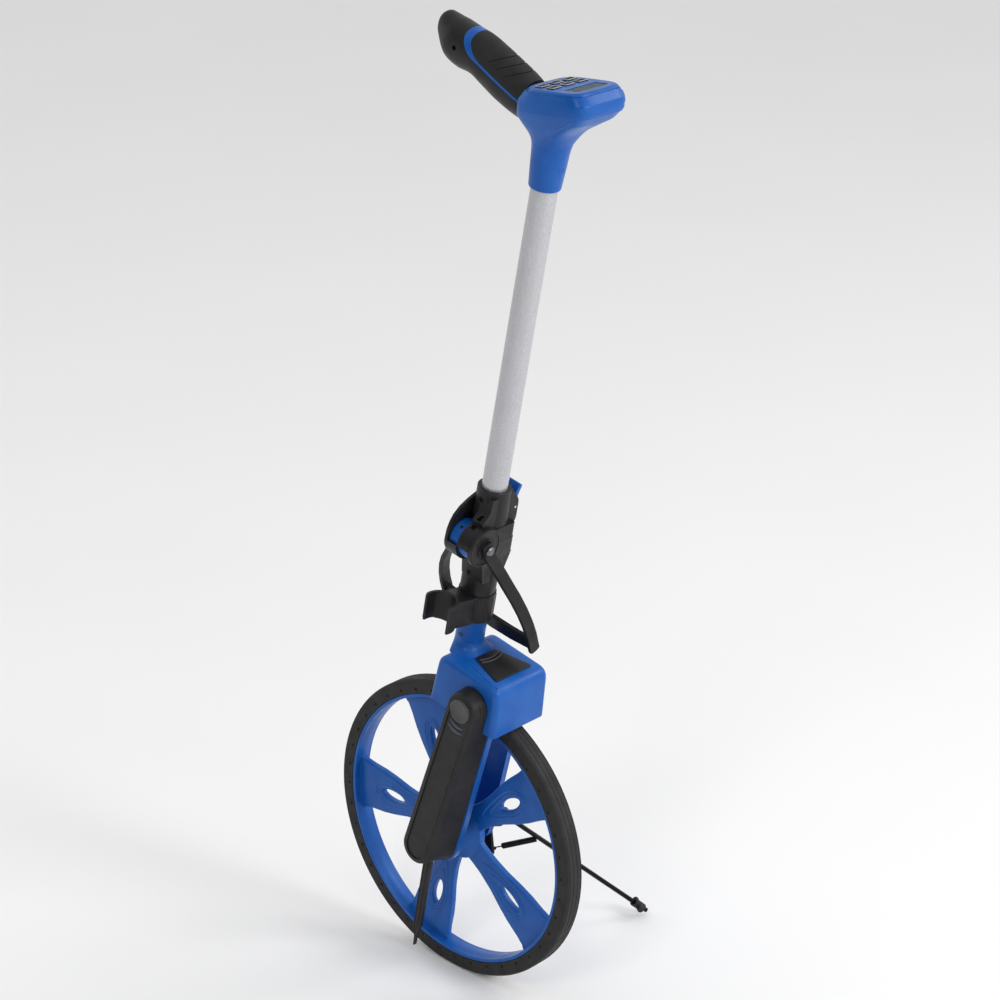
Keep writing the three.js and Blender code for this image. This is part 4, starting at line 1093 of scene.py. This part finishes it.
def clip_ribs():
    """Upright ribs on both arms of the clip's nest and round its collar."""
    ribs = []
    for degrees in (-14, -3, 8, 19):
        a = math.radians(degrees)
        for mirror in (1, -1):
            u = MAST_U + mirror * CLIP_NEST_R * math.cos(a)
            ribs.append(upright_rib(u, CLIP_V + CLIP_NEST_R * math.sin(a), 250.6, 276.8, 0.6))
    for degrees in (-42, -16, 10, 36, 144, 170, 196, 222):
        a = math.radians(degrees)
        u = MAST_U + CLIP_COLLAR_R * math.cos(a)
        ribs.append(upright_rib(u, CLIP_COLLAR_R * math.sin(a), 245.4, 272.2, 0.55))
    make("clip_ribs", "frame", BLACK, merge(*ribs), MAST, 40)


def button_edges():
    """A pale line round the top of each button: a painted highlight along its edge."""
    centres = [(x, y) for x in BUTTON_ROWS for y in BUTTON_COLUMNS]
    for i, (x, y) in enumerate(centres):
        low_u, high_u = x - BUTTON_HALF_U, x + BUTTON_HALF_U
        low_v, high_v = y - BUTTON_HALF_V, y + BUTTON_HALF_V
        outline = soften([(low_u, low_v, 1.6), (high_u, low_v, 1.6), (high_u, high_v, 1.6),
                          (low_u, high_v, 1.6)], 4)
        edge = pipe([(a, b, 0.92) for a, b in outline], 0.28, 8, True)
        make(f"button_edge_{i + 1}", f"button_{i + 1}", BUTTON_EDGE_HIGHLIGHT, edge, PANEL, 40)


hinge_details()
drum_recess()
bracket_window()
clip_ribs()
button_edges()
refined("carry_handle", STRAP, 0.0012)
for side in ("near", "far"):
    refined(f"handle_screw_{side}", DARK_STEEL)
done |= {"upper_bracket", "carry_handle", "handle_screw_near", "handle_screw_far"}

# ---------- every node not built by hand ----------
slots = {part["node"]: part["material_slot"] for part in frame["record"]["subparts"]}
for node in sorted(set(frame["nodes"]) - done):
    refined(node, FINISH[slots[node]])

# ---------- stage, light and camera ----------
DARK_SIDE = (0.1, -0.995, 0)


def stage():
    """The pale floor."""
    bm = bmesh.new()
    bmesh.ops.create_grid(bm, x_segments=1, y_segments=1, size=20)
    mesh = bpy.data.meshes.new("floor")
    bm.to_mesh(mesh)
    bm.free()
    n = Nodes("floor_pale")
    tone = n.mix(n.span(n.noise(2.5, 3), 0.3, 0.7, 0, 1), (0.885, 0.885, 0.887, 1), (0.9, 0.9, 0.9, 1))
    n.link(tone, n.shader.inputs["Base Color"])
    n.shader.inputs["Roughness"].default_value = 0.85
    mesh.materials.append(n.material)
    floor = bpy.data.objects.new("floor", mesh)
    floor.location.z = -0.0005
    bpy.context.scene.collection.objects.link(floor)
    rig.stage(floor)


def lamp(name, location, target, size, power):
    """A round soft light that faces its target."""
    data = bpy.data.lights.new(name, "AREA")
    data.shape = "DISK"
    data.size = size
    data.energy = power
    light = bpy.data.objects.new(name, data)
    light.location = location
    light.rotation_euler = (Vector(target) - Vector(location)).to_track_quat("-Z", "Y").to_euler()
    bpy.context.scene.collection.objects.link(light)


def studio_world():
    """A soft grey sky that is bright all round but darkens towards the near side."""
    world = bpy.data.worlds.new("studio")
    world.use_nodes = True
    sky = world.node_tree
    facing = sky.nodes.new("ShaderNodeVectorMath")
    facing.operation = "DOT_PRODUCT"
    facing.inputs[1].default_value = DARK_SIDE
    shade = sky.nodes.new("ShaderNodeMapRange")
    for name, number in (("From Min", 0.3), ("From Max", 0.8), ("To Min", 0.85), ("To Max", 0.08)):
        shade.inputs[name].default_value = number
    background = sky.nodes["Background"]
    background.inputs["Color"].default_value = (1, 1, 1, 1)
    sky.links.new(sky.nodes.new("ShaderNodeTexCoord").outputs["Generated"], facing.inputs[0])
    sky.links.new(facing.outputs["Value"], shade.inputs["Value"])
    sky.links.new(shade.outputs["Result"], background.inputs["Strength"])
    bpy.context.scene.world = world


def photo_camera():
    """The camera at the photo's angle, in metres and degrees, as fitted to the wheel and the mast."""
    camera = bpy.data.objects.new("camera", bpy.data.cameras.new("camera"))
    camera.data.lens = 99.85
    camera.data.sensor_width = 36
    camera.location = (1.7178, -1.7450, 1.5571)
    down, turned_left = 23.032, 43.576
    camera.rotation_euler = (math.radians(90 - down), 0, math.radians(turned_left))
    bpy.context.scene.collection.objects.link(camera)
    bpy.context.scene.camera = camera


stage()
lamp("key", (0.9, -2.6, 2.6), (0, 0, 0.45), 1.0, 22)
lamp("fill", (-2.6, -1.2, 1.6), (0, 0, 0.4), 2.2, 6)
lamp("rim", (1.6, 2.4, 2.2), (0, 0, 0.5), 1.4, 22)
lamp("right", (2.8, 0.6, 1.6), (0, 0, 0.5), 1.0, 30)
bpy.context.scene.view_settings.view_transform = "Standard"
studio_world()
photo_camera()

with open("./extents.json", "w") as out:
    json.dump({"cad": [list(c) for c in cad_box], "visual": [list(c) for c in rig.bounds()]}, out)
